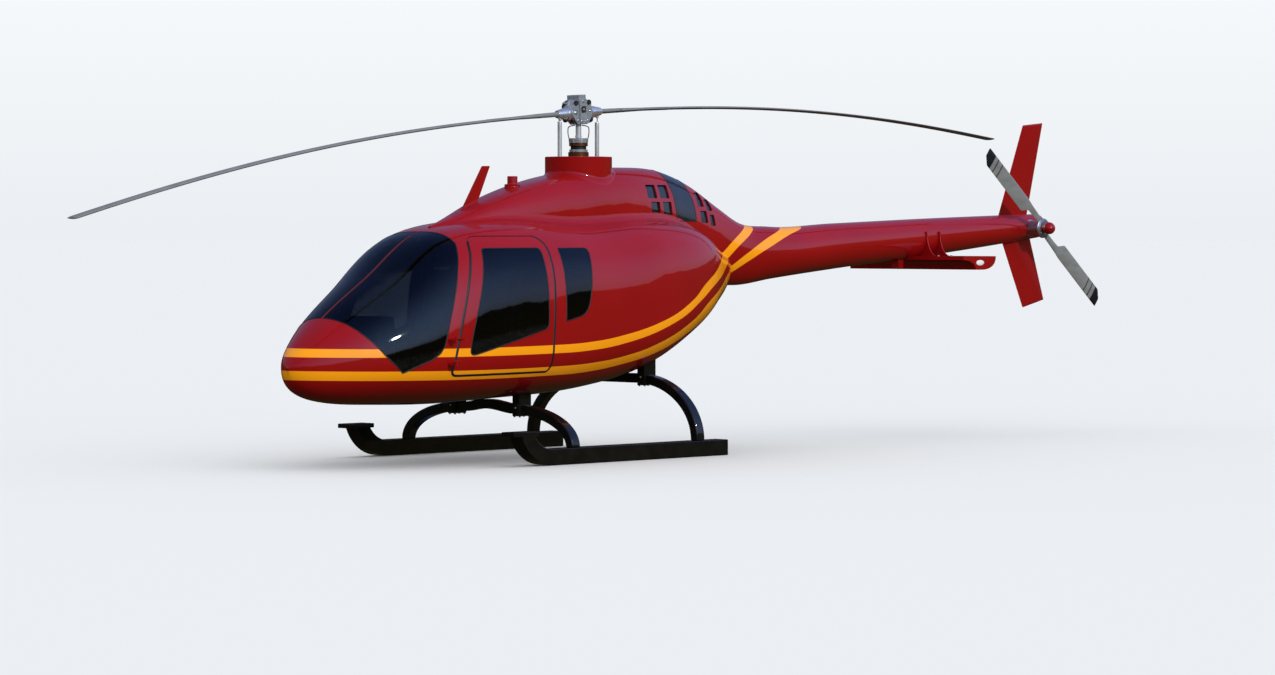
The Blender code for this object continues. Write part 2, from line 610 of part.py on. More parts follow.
def fins():
    top = [(-6.055, 2.15), (-6.465, 3.120), (-6.790, 3.150), (-6.520, 2.15)]
    low = [(-6.090, 2.0), (-6.470, 1.242), (-6.815, 1.320), (-6.570, 2.0)]
    boom_gap = add_cutter("boom_gap", upper_mesh("boom_gap", BOOM_START, UPPER_X[-1] - GAP, -GAP, 14, 24))
    for name, outline in (("fin_upper", top), ("fin_lower", low)):
        fin = add_part(name, side_prism(name, outline, -0.015, 0.015), PAINT)
        boolean(fin, boom_gap)
    return boom_gap


STAB_X, STAB_CHORD, STAB_HALF, STAB_Z, STAB_DEEP = -4.525, 0.500, 0.822, 1.785, 0.133
STAB_FACE = 0.037
GUSSET_X = {"front": -4.70, "rear": -4.90}
GUSSET_FOOT = 0.340
LAMP_X, LAMP_DOWN, LAMP_LONG, LAMP_HIGH = -4.787, 0.063, 0.065, 0.028


def stabiliser(boom_gap):
    """Flat-topped wing with a rounded belly, and four webs up to the boom."""
    outline = [(STAB_X, STAB_Z), (STAB_X, STAB_Z - STAB_FACE)]
    for k in range(1, 9):
        a = math.pi / 2 * k / 8
        drop = STAB_FACE + (STAB_DEEP - STAB_FACE) * (1 - math.cos(a))
        outline.append((STAB_X - 0.19 * math.sin(a), STAB_Z - drop))
    outline += [(STAB_X - 0.30, STAB_Z - STAB_DEEP)]
    for k in range(1, 7):
        a = math.pi / 2 * k / 6
        back = 0.30 + (STAB_CHORD - 0.30) * math.sin(a)
        outline.append((STAB_X - back, STAB_Z - STAB_DEEP * math.cos(a) ** 0.8))
    plane = add_part("stabiliser", side_prism("stabiliser", outline, -STAB_HALF, STAB_HALF), PAINT)
    for s, sign in SIDES.items():
        hole = [(LAMP_X + LAMP_LONG * math.cos(a), STAB_Z - LAMP_DOWN + LAMP_HIGH * math.sin(a))
                for a in np.linspace(0, 2 * math.pi, 17)[:-1]]
        low, high = mirror_y((STAB_HALF - 0.012, STAB_HALF + 0.1), sign)
        boolean(plane, add_cutter("plate_hole_" + s, side_prism("plate_hole", hole, low, high)))
        for name, x in GUSSET_X.items():
            web = []
            for k in range(9):
                a = math.pi / 2 * k / 8
                out, up = GUSSET_FOOT - 0.135 * math.sin(a), 0.243 * (1 - math.cos(a)) - 0.003
                web.append((sign * out, STAB_Z + up))
            web += [(sign * 0.10, STAB_Z + 0.24), (sign * 0.02, STAB_Z - 0.01)]
            web += [(sign * GUSSET_FOOT, STAB_Z - 0.01)]
            web = add_cutter("gusset_%s_%s" % (name, s), front_prism("gusset", web, x - 0.008, x + 0.008))
            boolean(plane, web, "UNION")
    boolean(plane, boom_gap)
    foot = add_part("stabiliser_foot", box_mesh("stabiliser_foot", (STAB_X + GAP, -0.05, 1.66),
                                                (STAB_X + 0.075, 0.05, 1.84)), PAINT)
    boolean(foot, boom_gap)


def foil_mesh(name, stations, frame=Matrix.Identity(4), count=12):
    """Lens sections along the first axis; a station is (r, leading edge, trailing edge, thickness, height)."""
    rings = []
    for r, lead, trail, thick, height in stations:
        ring = []
        for k in range(count):
            a = 2 * math.pi * k / count
            across = (lead + trail) / 2 + (lead - trail) / 2 * math.cos(a)
            up = height + thick / 2 * math.sin(a) * (0.75 + 0.25 * math.cos(a))
            ring.append(frame @ Vector((r, across, up)))
        rings.append(ring)
    return loft_mesh(name, rings)


def tail_rotor(boom_gap):
    x, y, z = TAIL_HUB
    back, front = y - TAIL_RING_HALF, y + TAIL_RING_HALF
    box = rod_mesh("tail_gearbox", (x, 0.0, z), (x, back - 0.006, z), 0.085, 0.065)
    box = add_part("tail_gearbox", box, METAL)
    shaft = rod_mesh("tail_shaft", (x, y - 0.1, z), (x, front - 0.009, z), 0.022)
    boolean(box, add_cutter("tail_shaft", shaft), "UNION")
    boolean(box, boom_gap)
    axis = empty("tail_rotor_axis", TAIL_HUB, FRAME)
    hub = rod_mesh("tail_rotor_hub", (x, back, z), (x, front, z), TAIL_RING)
    hub = add_part("tail_rotor_hub", hub, METAL, axis)
    bore = rod_mesh("tail_bore", (x, y - 0.1, z), (x, front - 0.0085, z), 0.0227)
    boolean(hub, add_cutter("tail_bore", bore))
    dome = bmesh.new()
    bmesh.ops.create_uvsphere(dome, u_segments=20, v_segments=12, radius=TAIL_CAP_R,
                              matrix=Matrix.Translation((x, front + TAIL_CAP_R + GAP, z)))
    add_part("tail_rotor_cap", from_bmesh("tail_rotor_cap", dome), PAINT, axis)
    half, tip = TAIL_CHORD / 2, TAIL_R
    stations = [(TAIL_RING + GAP, 0.036, -0.036, 0.030, 0), (0.22, 0.040, -0.040, 0.028, 0),
                (0.31, 0.052, -0.052, 0.026, 0), (0.385, half, -half, 0.024, 0), (0.70, half, -half, 0.022, 0),
                (tip - 0.07, half, -half, 0.020, 0), (tip, half, -half / 4, 0.016, 0)]
    for k, name in enumerate(("tail_blade_upper", "tail_blade_lower")):
        turn = TAIL_TURN + math.pi * k
        frame = Matrix.Translation(TAIL_HUB) @ Matrix.Rotation(-turn, 4, "Y")
        frame = frame @ Matrix.Rotation(math.pi / 2, 4, "X")
        add_part(name, foil_mesh(name, stations, frame), BLADE, axis)


# Landing gear
def skids():
    outline = [(SKID_REAR, 0), (SKID_BEND_X, 0)]
    top = math.acos((SKID_BEND_R - SKID_TIP_Z) / SKID_BEND_R)
    for k in range(1, 9):
        a = top * k / 8
        outline.append((SKID_BEND_X + SKID_BEND_R * math.sin(a), SKID_BEND_R * (1 - math.cos(a))))
    tip_z = SKID_TIP_Z
    outline += [(STEP_HIGH_X, tip_z), (STEP_HIGH_X, tip_z + STEP_THICK),
                (STEP_LOW_X, tip_z + STEP_THICK), (STEP_LOW_X, tip_z)]
    inner = SKID_BEND_R - SKID_HIGH
    top = math.acos((SKID_BEND_R - tip_z) / inner)
    for k in range(8, -1, -1):
        a = top * k / 8
        outline.append((SKID_BEND_X + inner * math.sin(a), SKID_BEND_R - inner * math.cos(a)))
    outline.append((SKID_REAR, SKID_HIGH))
    for s, sign in SIDES.items():
        y = sign * SKID_Y
        add_part("skid_" + s, side_prism("skid_" + s, outline, y - SKID_WIDE / 2, y + SKID_WIDE / 2), BLACK)


def arch(end, thick):
    """Front-view outline of a cross tube: two legs on quarter ellipses, and a low crown between them."""
    top = TUBE_TOP[end] - TUBE_THICK / 2
    foot = SKID_HIGH + GAP
    outer, inner = [], []
    reach = SKID_Y - CLAMP_Y * 0.8
    for k in range(11):
        a = math.pi / 2 * k / 10
        c, s = math.cos(a), math.sin(a)
        mid = Vector((CLAMP_Y * 0.8 + reach * c, foot + (top - foot) * s))
        normal = Vector((c * (top - foot), s * reach)).normalized()
        outer.append(mid + normal * thick / 2)
        inner.append(mid - normal * thick / 2)
    crown = []
    for k in range(1, 8):
        s = 1 - k / 4
        crown.append((CLAMP_Y * 0.8 * s, top + TUBE_CROWN[end] * (1 - s * s) ** 2))
    above = [(y, z + thick / 2) for y, z in crown]
    below = [(y, z - thick / 2) for y, z in crown]
    right = [tuple(p) for p in outer] + above + [(-p.x, p.y) for p in reversed(outer)]
    left = [(-p.x, p.y) for p in inner] + below[::-1] + [tuple(p) for p in reversed(inner)]
    return right + left


def cross_tubes():
    for end, x in TUBE_X.items():
        name = "cross_tube_" + end
        top = TUBE_TOP[end] - TUBE_THICK / 2
        add_part(name, front_prism(name, arch(end, TUBE_THICK), x - TUBE_LONG / 2, x + TUBE_LONG / 2), BLACK)
        for s, sign in SIDES.items():
            y = sign * CLAMP_Y
            low = top - TUBE_THICK / 2 - 0.020
            name = "clamp_%s_%s" % (end, s)
            clamp = box_mesh(name, (x - 0.08, y - 0.045, low), (x + 0.08, y + 0.045, top + 0.30))
            clamp = add_part(name, clamp, BLACK)
            boolean(clamp, body_gap)
            slot = add_cutter("slot_" + name, front_prism("slot", arch(end, TUBE_THICK + 2 * GAP),
                                                          x - TUBE_LONG / 2 - GAP, x + TUBE_LONG / 2 + GAP))
            boolean(clamp, slot)


# Main rotor
def drooped(r):
    s = r / ROTOR_R
    return DROOP[0] * s**2 + DROOP[1] * s**3 + DROOP[2] * s**4


def blade_stations():
    """Chord, thickness and droop along a main blade, with a rounded tip."""
    stations = []
    inboard = (BLADE_ROOT_R, 0.45, 0.62, 0.8, 1.2, 1.8)
    for r in inboard + (2.4, 3.0, 3.6, 4.2, 4.8, 5.35, ROTOR_R - 0.035, ROTOR_R):
        grow = min(max((r - 0.40) / 0.40, 0), 1)
        chord = ROOT_CHORD + (CHORD - ROOT_CHORD) * grow
        thick = ROOT_THICK + (BLADE_THICK - ROOT_THICK) * grow
        shrink = 0.75 if r == ROTOR_R else 1.0
        stations.append((r, chord / 2 * shrink, -chord / 2 * shrink, thick * shrink, -drooped(r)))
    return stations


def main_rotor():
    mast_axis = empty("mast_axis", (0, 0, 0), FRAME)
    ball = [(BALL_R * math.sin(a), HUB_Z - BALL_R * math.cos(a)) for a in np.linspace(0.65, 2.9, 8)]
    shaft = [(0, 2.36), (MAST_R, 2.36), (MAST_R, HUB_Z - 0.04)] + ball + [(0, HUB_Z + BALL_R)]
    add_part("mast", turned_mesh("mast", shaft, (0, 0, 0), 24), STEEL, mast_axis)
    plate = [(0.0263, 2.600), (0.280, 2.600), (0.280, 2.630), (0.0263, 2.630)]
    add_part("swashplate", turned_mesh("swashplate", plate, (0, 0, 0), 40), STEEL, mast_axis)
    stack = [(0.0263, 2.6303), (0.094, 2.6303), (0.094, 2.760), (0.084, 2.762), (0.084, 2.778), (0.072, 2.780),
             (0.072, 2.806), (0.086, 2.808), (0.086, 2.850), (0.090, 2.852), (0.090, 2.884), (0.0263, 2.888)]
    add_part("mast_sleeve", turned_mesh("mast_sleeve", stack, (0, 0, 0), 32), STEEL, mast_axis)
    flat_turn = Matrix.Rotation(ROTOR_TURN, 4, "Z")
    tilt = Matrix.Translation((0, 0, HUB_Z)) @ Matrix.Rotation(DISC_TILT, 4, "Y") @ flat_turn
    rotor_axis = empty("rotor_axis", (0, 0, HUB_Z), FRAME)

    def placed(name, mesh, finish):
        mesh.transform(tilt)
        return add_part(name, mesh, finish, rotor_axis)

    plate = [(0.120, -0.035), (0.120, 0.050), (0.045, 0.165), (-0.045, 0.165), (-0.120, 0.050),
             (-0.120, -0.035), (-0.060, -0.105), (0.060, -0.105)]
    hub = placed("rotor_hub", side_prism("rotor_hub", plate, -0.093, 0.093), STEEL)
    bore = rod_mesh("hub_bore", (0, 0, -0.17), (0, 0, -0.02), MAST_R + 0.020)
    bore.transform(tilt)
    boolean(hub, add_cutter("hub_bore", bore))
    socket = bmesh.new()
    bmesh.ops.create_uvsphere(socket, u_segments=32, v_segments=20, radius=BALL_R + 0.0008,
                              matrix=Matrix.Translation((0, 0, HUB_Z)))
    boolean(hub, add_cutter("hub_socket", from_bmesh("hub_socket", socket)))
    for k, name in enumerate(("front", "rear")):
        turn = Matrix.Rotation(math.pi * k, 4, "Z")
        grip = rod_mesh("grip_" + name, (0.1203, 0, 0), (BLADE_ROOT_R - GAP, 0, 0), 0.066, 0.040)
        grip.transform(turn)
        placed("grip_" + name, grip, STEEL)
        mesh = foil_mesh("blade_" + name, blade_stations())
        mesh.transform(turn)
        placed("blade_" + name, mesh, BLADE)
        ends = ((LINK_OUT, 0, 2.6303), (LINK_OUT, 0, HUB_Z - 0.082))
        link = rod_mesh("pitch_link_" + name, *ends, LINK_R, sides=16)
        link.transform(flat_turn @ turn)
        add_part("pitch_link_" + name, link, STEEL, mast_axis)


# Roof fittings, cabin fittings and engine
def roof_fittings():
    cowl_gap = CUTTERS.objects["cowl_gap"]
    cutter_fin = add_part("wire_cutter", side_prism("wire_cutter", [
        (1.560, 2.08), (1.212, 2.622), (1.128, 2.623), (1.340, 2.17)], -0.011, 0.011), PAINT)
    boolean(cutter_fin, cowl_gap)
    beacon = add_part("beacon", turned_mesh("beacon", [
        (0, 2.35), (0.072, 2.35), (0.072, 2.462), (0.047, 2.466), (0.047, 2.528), (0.041, 2.534), (0, 2.534)],
        (0.84, 0, 0), 24), PAINT)
    boolean(beacon, cowl_gap)


def cabin_fittings():
    inner_gap = add_cutter("inner_gap", body_mesh("inner_gap", WALL + 0.0008, 26, 32))
    floor = add_part("cabin_floor", box_mesh("cabin_floor", (-0.30, -1.0, 0.78), (2.9, 1.0, 0.80)), GREY)
    boolean(floor, inner_gap, "INTERSECT")
    wall = add_part("rear_bulkhead", box_mesh("rear_bulkhead", (-0.33, -1.0, 0.5), (-0.3003, 1.0, 2.3)), GREY)
    boolean(wall, inner_gap, "INTERSECT")
    panel = add_part("instrument_panel", side_prism("instrument_panel", [
        (2.55, 0.8003), (2.80, 0.8003), (2.80, 1.15), (2.70, 1.32), (2.55, 1.30)], -0.33, 0.33), GREY)
    boolean(panel, inner_gap, "INTERSECT")
    for s, sign in SIDES.items():
        y = sign * 0.36
        outline = [(1.95, 0.8003), (1.95, 1.02), (1.93, 1.10), (1.50, 1.06), (1.36, 1.72),
                   (1.24, 1.70), (1.36, 0.8003)]
        add_part("seat_" + s, side_prism("seat_" + s, outline, y - 0.24, y + 0.24), SEAT)
    bench = [(0.55, 0.8003), (0.55, 1.10), (0.10, 1.05), (-0.05, 1.72), (-0.18, 1.70), (-0.06, 0.8003)]
    bench_seat = add_part("rear_bench", side_prism("rear_bench", bench, -0.62, 0.62), SEAT)
    boolean(bench_seat, inner_gap, "INTERSECT")


def heavy_pieces():
    box = add_part("transmission", box_mesh("transmission", (-0.22, -0.20, 1.9), (0.22, 0.20, 2.3597)), METAL)
    boolean(box, body_gap)
    engine = add_part("engine", box_mesh("engine", (-1.00, -0.18, 1.9), (-0.30, 0.18, 2.34)), METAL)
    boolean(engine, body_gap)


cabin()
panes()
doors()
upper_works()
boom_gap_cutter = fins()
stabiliser(boom_gap_cutter)
tail_rotor(boom_gap_cutter)
skids()
cross_tubes()
main_rotor()
roof_fittings()
cabin_fittings()
heavy_pieces()
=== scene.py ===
# %% [markdown]
# # A light helicopter in gloss red
# The object is a five-seat, single-turbine helicopter, parked on its skids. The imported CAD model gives
# the frame: where everything sits and what turns about what. This script gives the looks. Each step
# says what the piece is on the real machine, how it could be made, and why it is made this way.

# %% Load the frame
import json
import math

import bmesh
import bpy
import numpy as np
from mathutils import Matrix, Vector

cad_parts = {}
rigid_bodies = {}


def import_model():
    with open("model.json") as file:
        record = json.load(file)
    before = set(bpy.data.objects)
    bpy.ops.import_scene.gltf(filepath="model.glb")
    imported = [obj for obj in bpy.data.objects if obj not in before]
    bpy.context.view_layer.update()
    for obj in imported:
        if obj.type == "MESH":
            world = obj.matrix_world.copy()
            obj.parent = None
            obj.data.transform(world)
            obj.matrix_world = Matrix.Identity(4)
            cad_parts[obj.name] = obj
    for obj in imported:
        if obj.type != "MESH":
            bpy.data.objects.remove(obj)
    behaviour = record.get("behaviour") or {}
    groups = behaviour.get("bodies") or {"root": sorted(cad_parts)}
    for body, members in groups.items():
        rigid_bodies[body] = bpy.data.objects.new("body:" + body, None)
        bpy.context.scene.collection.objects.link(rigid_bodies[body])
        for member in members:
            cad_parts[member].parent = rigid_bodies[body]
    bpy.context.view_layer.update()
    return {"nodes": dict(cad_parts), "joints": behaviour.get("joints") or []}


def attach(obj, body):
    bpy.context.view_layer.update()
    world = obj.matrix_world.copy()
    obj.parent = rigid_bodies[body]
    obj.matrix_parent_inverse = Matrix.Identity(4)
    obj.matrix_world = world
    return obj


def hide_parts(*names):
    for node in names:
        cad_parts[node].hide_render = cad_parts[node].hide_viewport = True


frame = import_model()
joints = {joint["name"]: joint for joint in frame["joints"]}
MAST_X = joints["mast_spin"]["pos_m"][0]
SIDES = {"left": 1, "right": -1}
print("nodes", len(frame["nodes"]), "mast at x =", MAST_X)

# %% [markdown]
# ## Tools for surfaces
# Nearly every piece here is a function of two parameters, worked out on a grid with numpy, or a
# profile carried along a path. A grid becomes a mesh with one list of faces, so no loop runs over
# vertices. Lengths along X are counted from the mast, and `place` adds the mast's own position.

# %% Grid helpers
scene = bpy.context.scene


def grid_faces(rows, cols, close_rows=False, close_cols=False):
    """Quads between neighbours of a grid whose points are numbered row by row."""
    i = np.arange(rows if close_rows else rows - 1)[:, None]
    j = np.arange(cols if close_cols else cols - 1)[None, :]
    right, down = (j + 1) % cols, (i + 1) % rows
    quads = [i * cols + j, i * cols + right, down * cols + right, down * cols + j]
    return np.stack(np.broadcast_arrays(*quads), -1).reshape(-1, 4)


def place(name, points, faces):
    """A mesh of points in mast coordinates; its normals are made to point outwards."""
    mesh = bpy.data.meshes.new(name)
    points = np.asarray(points, float).reshape(-1, 3) + (MAST_X, 0, 0)
    mesh.from_pydata(points.tolist(), [], [tuple(int(k) for k in face) for face in faces])
    made = bmesh.new()
    made.from_mesh(mesh)
    bmesh.ops.recalc_face_normals(made, faces=made.faces)
    made.to_mesh(mesh)
    made.free()
    return mesh


def points_of(mesh):
    """A mesh's points as one array."""
    points = np.empty(len(mesh.vertices) * 3)
    mesh.vertices.foreach_get("co", points)
    return points.reshape(-1, 3)


def skin_mesh(name, grid, poles=(None, None), closed=True):
    """A tube over a grid of rings; each end is a fan to its pole, or one flat face."""
    rows, cols = grid.shape[:2]
    points = [grid.reshape(-1, 3)]
    faces = grid_faces(rows, cols, False, closed).tolist()
    ring = np.arange(cols)
    for start, pole in ((0, poles[0]), ((rows - 1) * cols, poles[1])):
        if pole is None:
            faces.append((start + ring).tolist())
            continue
        tip = sum(len(p) for p in points)
        points.append(np.array([pole], float))
        faces += np.stack([start + ring, start + (ring + 1) % cols, ring * 0 + tip], -1).tolist()
    return place(name, np.concatenate(points), faces)


def add_piece(name, mesh, finish, body, stands_for=(), sharp=40, bevel=0.0):
    """Puts a mesh into the scene, shades it, and tells the frame what carries it.

    A vertex's normal is the mean of its faces', weighted by their size, so that a small eased edge
    doesn't tilt the shading of the large face beside it.
    """
    piece = bpy.data.objects.new(name, mesh)
    scene.collection.objects.link(piece)
    mesh.materials.clear()
    mesh.materials.append(finish)
    if sharp:
        mesh.shade_smooth()
        mesh.set_sharp_from_angle(angle=math.radians(sharp))
    if bevel:
        edge = piece.modifiers.new("eased edges", "BEVEL")
        edge.width, edge.segments, edge.limit_method = bevel, 2, "ANGLE"
        edge.angle_limit, edge.harden_normals = math.radians(35), True
    if sharp:
        even = piece.modifiers.new("weighted normals", "WEIGHTED_NORMAL")
        even.keep_sharp = True
    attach(piece, body)
    if stands_for:
        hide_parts(*stands_for)
    return piece


print("grid of 3 x 4 has", len(grid_faces(3, 4, False, True)), "faces when its rings close")

# %% [markdown]
# ## Profiles, prisms and tubes
# A lathe turns a profile about an axis, a prism pushes an outline along a direction, and a sweep
# carries a small section along a path. A frame of three unit vectors places each of them.

# %% Lathe, prism and sweep


def axes_for(direction):
    """Two unit vectors square to a direction, and the direction itself."""
    w = np.array(direction, float) / np.linalg.norm(direction)
    u = np.cross(w, (0, 0, 1) if abs(w[2]) < 0.9 else (1, 0, 0))
    u /= np.linalg.norm(u)
    return u, np.cross(w, u), w


def lathe(name, profile, origin=(0, 0, 0), direction=(0, 0, 1), sides=48):
    """Point = origin + w h + r (u cos a + v sin a) for each (r, h) of the profile."""
    u, v, w = axes_for(direction)
    r, h = np.array(profile, float).T
    a = np.linspace(0, 2 * math.pi, sides, endpoint=False)
    around = np.cos(a)[:, None] * u + np.sin(a)[:, None] * v
    grid = np.array(origin) + h[:, None, None] * w + r[:, None, None] * around[None]
    closed = r[0] > 0 and r[-1] > 0
    if closed:
        return place(name, grid, grid_faces(*grid.shape[:2], True, True))
    inner = grid[int(r[0] == 0):len(r) - int(r[-1] == 0)]
    poles = [grid[k, 0] if r[k] == 0 else None for k in (0, -1)]
    return skin_mesh(name, inner, poles)


def prism(name, outline, origin, u, v, depth):
    """Outline (a, b) placed at origin + a u + b v, and pushed both ways by half the depth."""
    u, v = np.array(u, float), np.array(v, float)
    w = np.cross(u, v)
    flat = np.array(outline, float)
    face = np.array(origin) + flat[:, :1] * u + flat[:, 1:] * v
    count = len(face)
    ring = np.arange(count)
    side = np.stack([ring, (ring + 1) % count, (ring + 1) % count + count, ring + count], -1)
    caps = [ring.tolist(), (ring + count).tolist()]
    return place(name, np.concatenate([face - w * depth / 2, face + w * depth / 2]), side.tolist() + caps)


def side_prism(name, outline, y_low, y_high):
    """An outline in the side view, x and z, pushed from one y to another."""
    return prism(name, outline, (0, (y_low + y_high) / 2, 0), (1, 0, 0), (0, 0, 1), y_high - y_low)


def box(name, low, high):
    """A block between two opposite corners."""
    x0, z0, x1, z1 = low[0], low[2], high[0], high[2]
    return side_prism(name, [(x0, z0), (x1, z0), (x1, z1), (x0, z1)], low[1], high[1])


def sweep(name, path, section, normals, closed=False):
    """Carries (a, b) along a path: a runs along the given normals, b square to them and the path."""
    path, normals = np.asarray(path, float), np.asarray(normals, float)
    ahead = np.roll(path, -1, 0) - np.roll(path, 1, 0) if closed else np.gradient(path, axis=0)
    ahead /= np.linalg.norm(ahead, axis=1)[:, None]
    across = np.cross(ahead, normals)
    across /= np.linalg.norm(across, axis=1)[:, None]
    raised = np.cross(across, ahead)
    a, b = np.array(section, float).T
    grid = path[:, None] + a[None, :, None] * raised[:, None] + b[None, :, None] * across[:, None]
    if closed:
        return place(name, grid, grid_faces(*grid.shape[:2], True, True))
    return skin_mesh(name, grid)


def circle(radius, count=12):
    """(r cos a, r sin a) at even steps of a."""
    a = np.linspace(0, 2 * math.pi, count, endpoint=False)
    return np.stack([radius * np.cos(a), radius * np.sin(a)], -1)


def tube(name, points, radius, count=12):
    """A round rod along a path, whose section keeps one side towards a fixed direction."""
    points = np.asarray(points, float)
    run = points[-1] - points[0]
    steady = axes_for(run)[0]
    return sweep(name, points, circle(radius, count), np.repeat([steady], len(points), 0))


def joined(name, meshes):
    """Several meshes made one; each keeps its own faces."""
    made = bmesh.new()
    for mesh in meshes:
        made.from_mesh(mesh)
    whole = bpy.data.meshes.new(name)
    made.to_mesh(whole)
    made.free()
    return whole


def carved(mesh, tool, operation="DIFFERENCE"):
    """The mesh with the tool cut out of it, or only what they share, by an exact Boolean."""
    body = bpy.data.objects.new("carved_body", mesh)
    cutter = bpy.data.objects.new("carving_tool", tool)
    for item in (body, cutter):
        scene.collection.objects.link(item)
    step = body.modifiers.new("carve", "BOOLEAN")
    step.solver, step.operation, step.object = "EXACT", operation, cutter
    made = bpy.data.meshes.new_from_object(body.evaluated_get(bpy.context.evaluated_depsgraph_get()))
    for item in (body, cutter):
        bpy.data.objects.remove(item, do_unlink=True)
    return made


def curve_through(u, us, vs):
    """Cubic Hermite curve; each slope is the mean of its two chords, weighted by the other's length."""
    us, vs, u = (np.asarray(a, float) for a in (us, vs, u))
    step = np.diff(us)
    chord = np.diff(vs) / step
    slope = np.empty_like(vs)
    slope[1:-1] = (chord[:-1] * step[1:] + chord[1:] * step[:-1]) / (step[:-1] + step[1:])
    slope[0], slope[-1] = 2 * chord[0] - slope[1], 2 * chord[-1] - slope[-2]
    k = np.clip(np.searchsorted(us, u) - 1, 0, len(us) - 2)
    s = (u - us[k]) / step[k]
    return ((2 * s**3 - 3 * s**2 + 1) * vs[k] + (s**3 - 2 * s**2 + s) * step[k] * slope[k]
            + (3 * s**2 - 2 * s**3) * vs[k + 1] + (s**3 - s**2) * step[k] * slope[k + 1])


def rounded(corners, rounds, steps=10):
    """A closed outline whose corners are eased by quadratic arcs that reach so far along each side."""
    corners = np.array(corners, float)
    points = []
    for i, (here, reach) in enumerate(zip(corners, rounds)):
        if reach == 0:
            points.append(here[None])
            continue
        ends = []
        for other in (corners[i - 1], corners[(i + 1) % len(corners)]):
            length = np.linalg.norm(other - here)
            ends.append(here + (other - here) / length * min(reach, 0.45 * length))
        s = np.linspace(0, 1, steps + 1)[:, None]
        points.append(ends[0] * (1 - s) ** 2 + here * 2 * s * (1 - s) + ends[1] * s**2)
    return np.concatenate(points)


def grown(outline, by):
    """A closed outline moved outwards by a distance, or inwards where it is negative."""
    points = np.array(outline, float)
    before, after = points - np.roll(points, 1, 0), np.roll(points, -1, 0) - points
    before /= np.linalg.norm(before, axis=1)[:, None]
    after /= np.linalg.norm(after, axis=1)[:, None]
    nxt = np.roll(points, -1, 0)
    area = (points[:, 0] * nxt[:, 1] - points[:, 1] * nxt[:, 0]).sum()
    n1 = np.stack([before[:, 1], -before[:, 0]], -1) * np.sign(area)
    n2 = np.stack([after[:, 1], -after[:, 0]], -1) * np.sign(area)
    n = n1 + n2
    n /= np.linalg.norm(n, axis=1)[:, None]
    return points + n * by / np.maximum((n * n1).sum(1), 0.5)[:, None]


print("a 20 mm rod of two points has", len(tube("trial", [(0, 0, 0), (1, 0, 0)], 0.01).vertices), "vertices")

# %% [markdown]
# ## Where the eye stands
# The photograph was taken from the front left, nearly level, from far away, so the lines hardly
# converge. The camera is placed from three numbers measured on it: the direction round the machine,
# the height above the horizon, and the focal length in pixels of the 1275-pixel-wide frame.

# %% Camera
PHOTO_WIDE = 1275
FOCAL_PIXELS = 4000.0
EYE_ROUND, EYE_UP = math.radians(44.26), math.radians(1.62)
EYE = Vector((25.879 + MAST_X, 25.974, 2.100))
back = Vector((math.cos(EYE_ROUND) * math.cos(EYE_UP), math.sin(EYE_ROUND) * math.cos(EYE_UP),
               math.sin(EYE_UP)))
right = Vector((-math.sin(EYE_ROUND), math.cos(EYE_ROUND), 0))
lens = bpy.data.cameras.new("photo_camera")
lens.sensor_width = 36.0
lens.lens = FOCAL_PIXELS * lens.sensor_width / PHOTO_WIDE
lens.clip_start, lens.clip_end = 0.5, 500.0
camera = bpy.data.objects.new("photo_camera", lens)
scene.collection.objects.link(camera)
turned = Matrix((right, back.cross(right), back)).transposed().to_4x4()
camera.matrix_world = Matrix.Translation(EYE) @ turned
scene.camera = camera
scene.view_settings.view_transform = "Standard"
print("lens of", round(lens.lens, 2), "mm on a", lens.sensor_width, "mm frame")

# %% [markdown]
# ## Light and ground
# Glossy paint shows what stands around it. The real machine reflects a pale sky, a dark line of trees
# at eye height and dark ground, and that is what makes its body look round. A photographed sky could do
# it; here the world is a short gradient with a noisy horizon, seen only in reflections, and the camera
# sees a plain pale backdrop. One soft key lamp gives the highlights; it stands where the highlight on
# the photograph's windshield says, found by reflecting the line of sight about the glass.

# %% Node helper


def add_node(tree, kind, values=(), **settings):
    """A node of a material with its sockets linked or set in order; None leaves a socket alone."""
    made = tree.nodes.new(kind)
    for key, value in settings.items():
        setattr(made, key, value)
    pairs = values.items() if isinstance(values, dict) else enumerate(values)
    for key, value in pairs:
        if isinstance(value, bpy.types.NodeSocket):
            tree.links.new(value, made.inputs[key])
        elif value is not None:
            made.inputs[key].default_value = value
    return made


def ramp(tree, factor, stops, mode="LINEAR"):
    """A colour for each place along 0 to 1."""
    made = add_node(tree, "ShaderNodeValToRGB", [factor])
    made.color_ramp.interpolation = mode
    while len(made.color_ramp.elements) < len(stops):
        made.color_ramp.elements.new(0.5)
    for element, (at, colour) in zip(made.color_ramp.elements, stops):
        element.position, element.color = at, (*colour, 1.0)
    return made.outputs["Color"]


# %% World
world = bpy.data.worlds.new("open air")
world.use_nodes = True
scene.world = world
sky = world.node_tree
sky.nodes.clear()
way = add_node(sky, "ShaderNodeTexCoord").outputs["Generated"]
up_part = add_node(sky, "ShaderNodeSeparateXYZ", [way]).outputs["Z"]
stretched = add_node(sky, "ShaderNodeMapping", {"Vector": way, "Scale": (1.0, 1.0, 0.35)}).outputs[0]
hills = add_node(sky, "ShaderNodeTexNoise",
                 {"Vector": stretched, "Scale": 3.2, "Detail": 7.0, "Roughness": 0.55})
lifted = add_node(sky, "ShaderNodeMath", [hills.outputs["Fac"], 0.26], operation="MULTIPLY").outputs[0]
height = add_node(sky, "ShaderNodeMath", [up_part, lifted], operation="SUBTRACT").outputs[0]
spread = add_node(sky, "ShaderNodeMapRange", [height, -1.0, 1.0, 0.0, 1.0]).outputs[0]
GROUND, TREES, HIGH_SKY = (0.050, 0.045, 0.020), (0.040, 0.038, 0.026), (0.06, 0.12, 0.42)
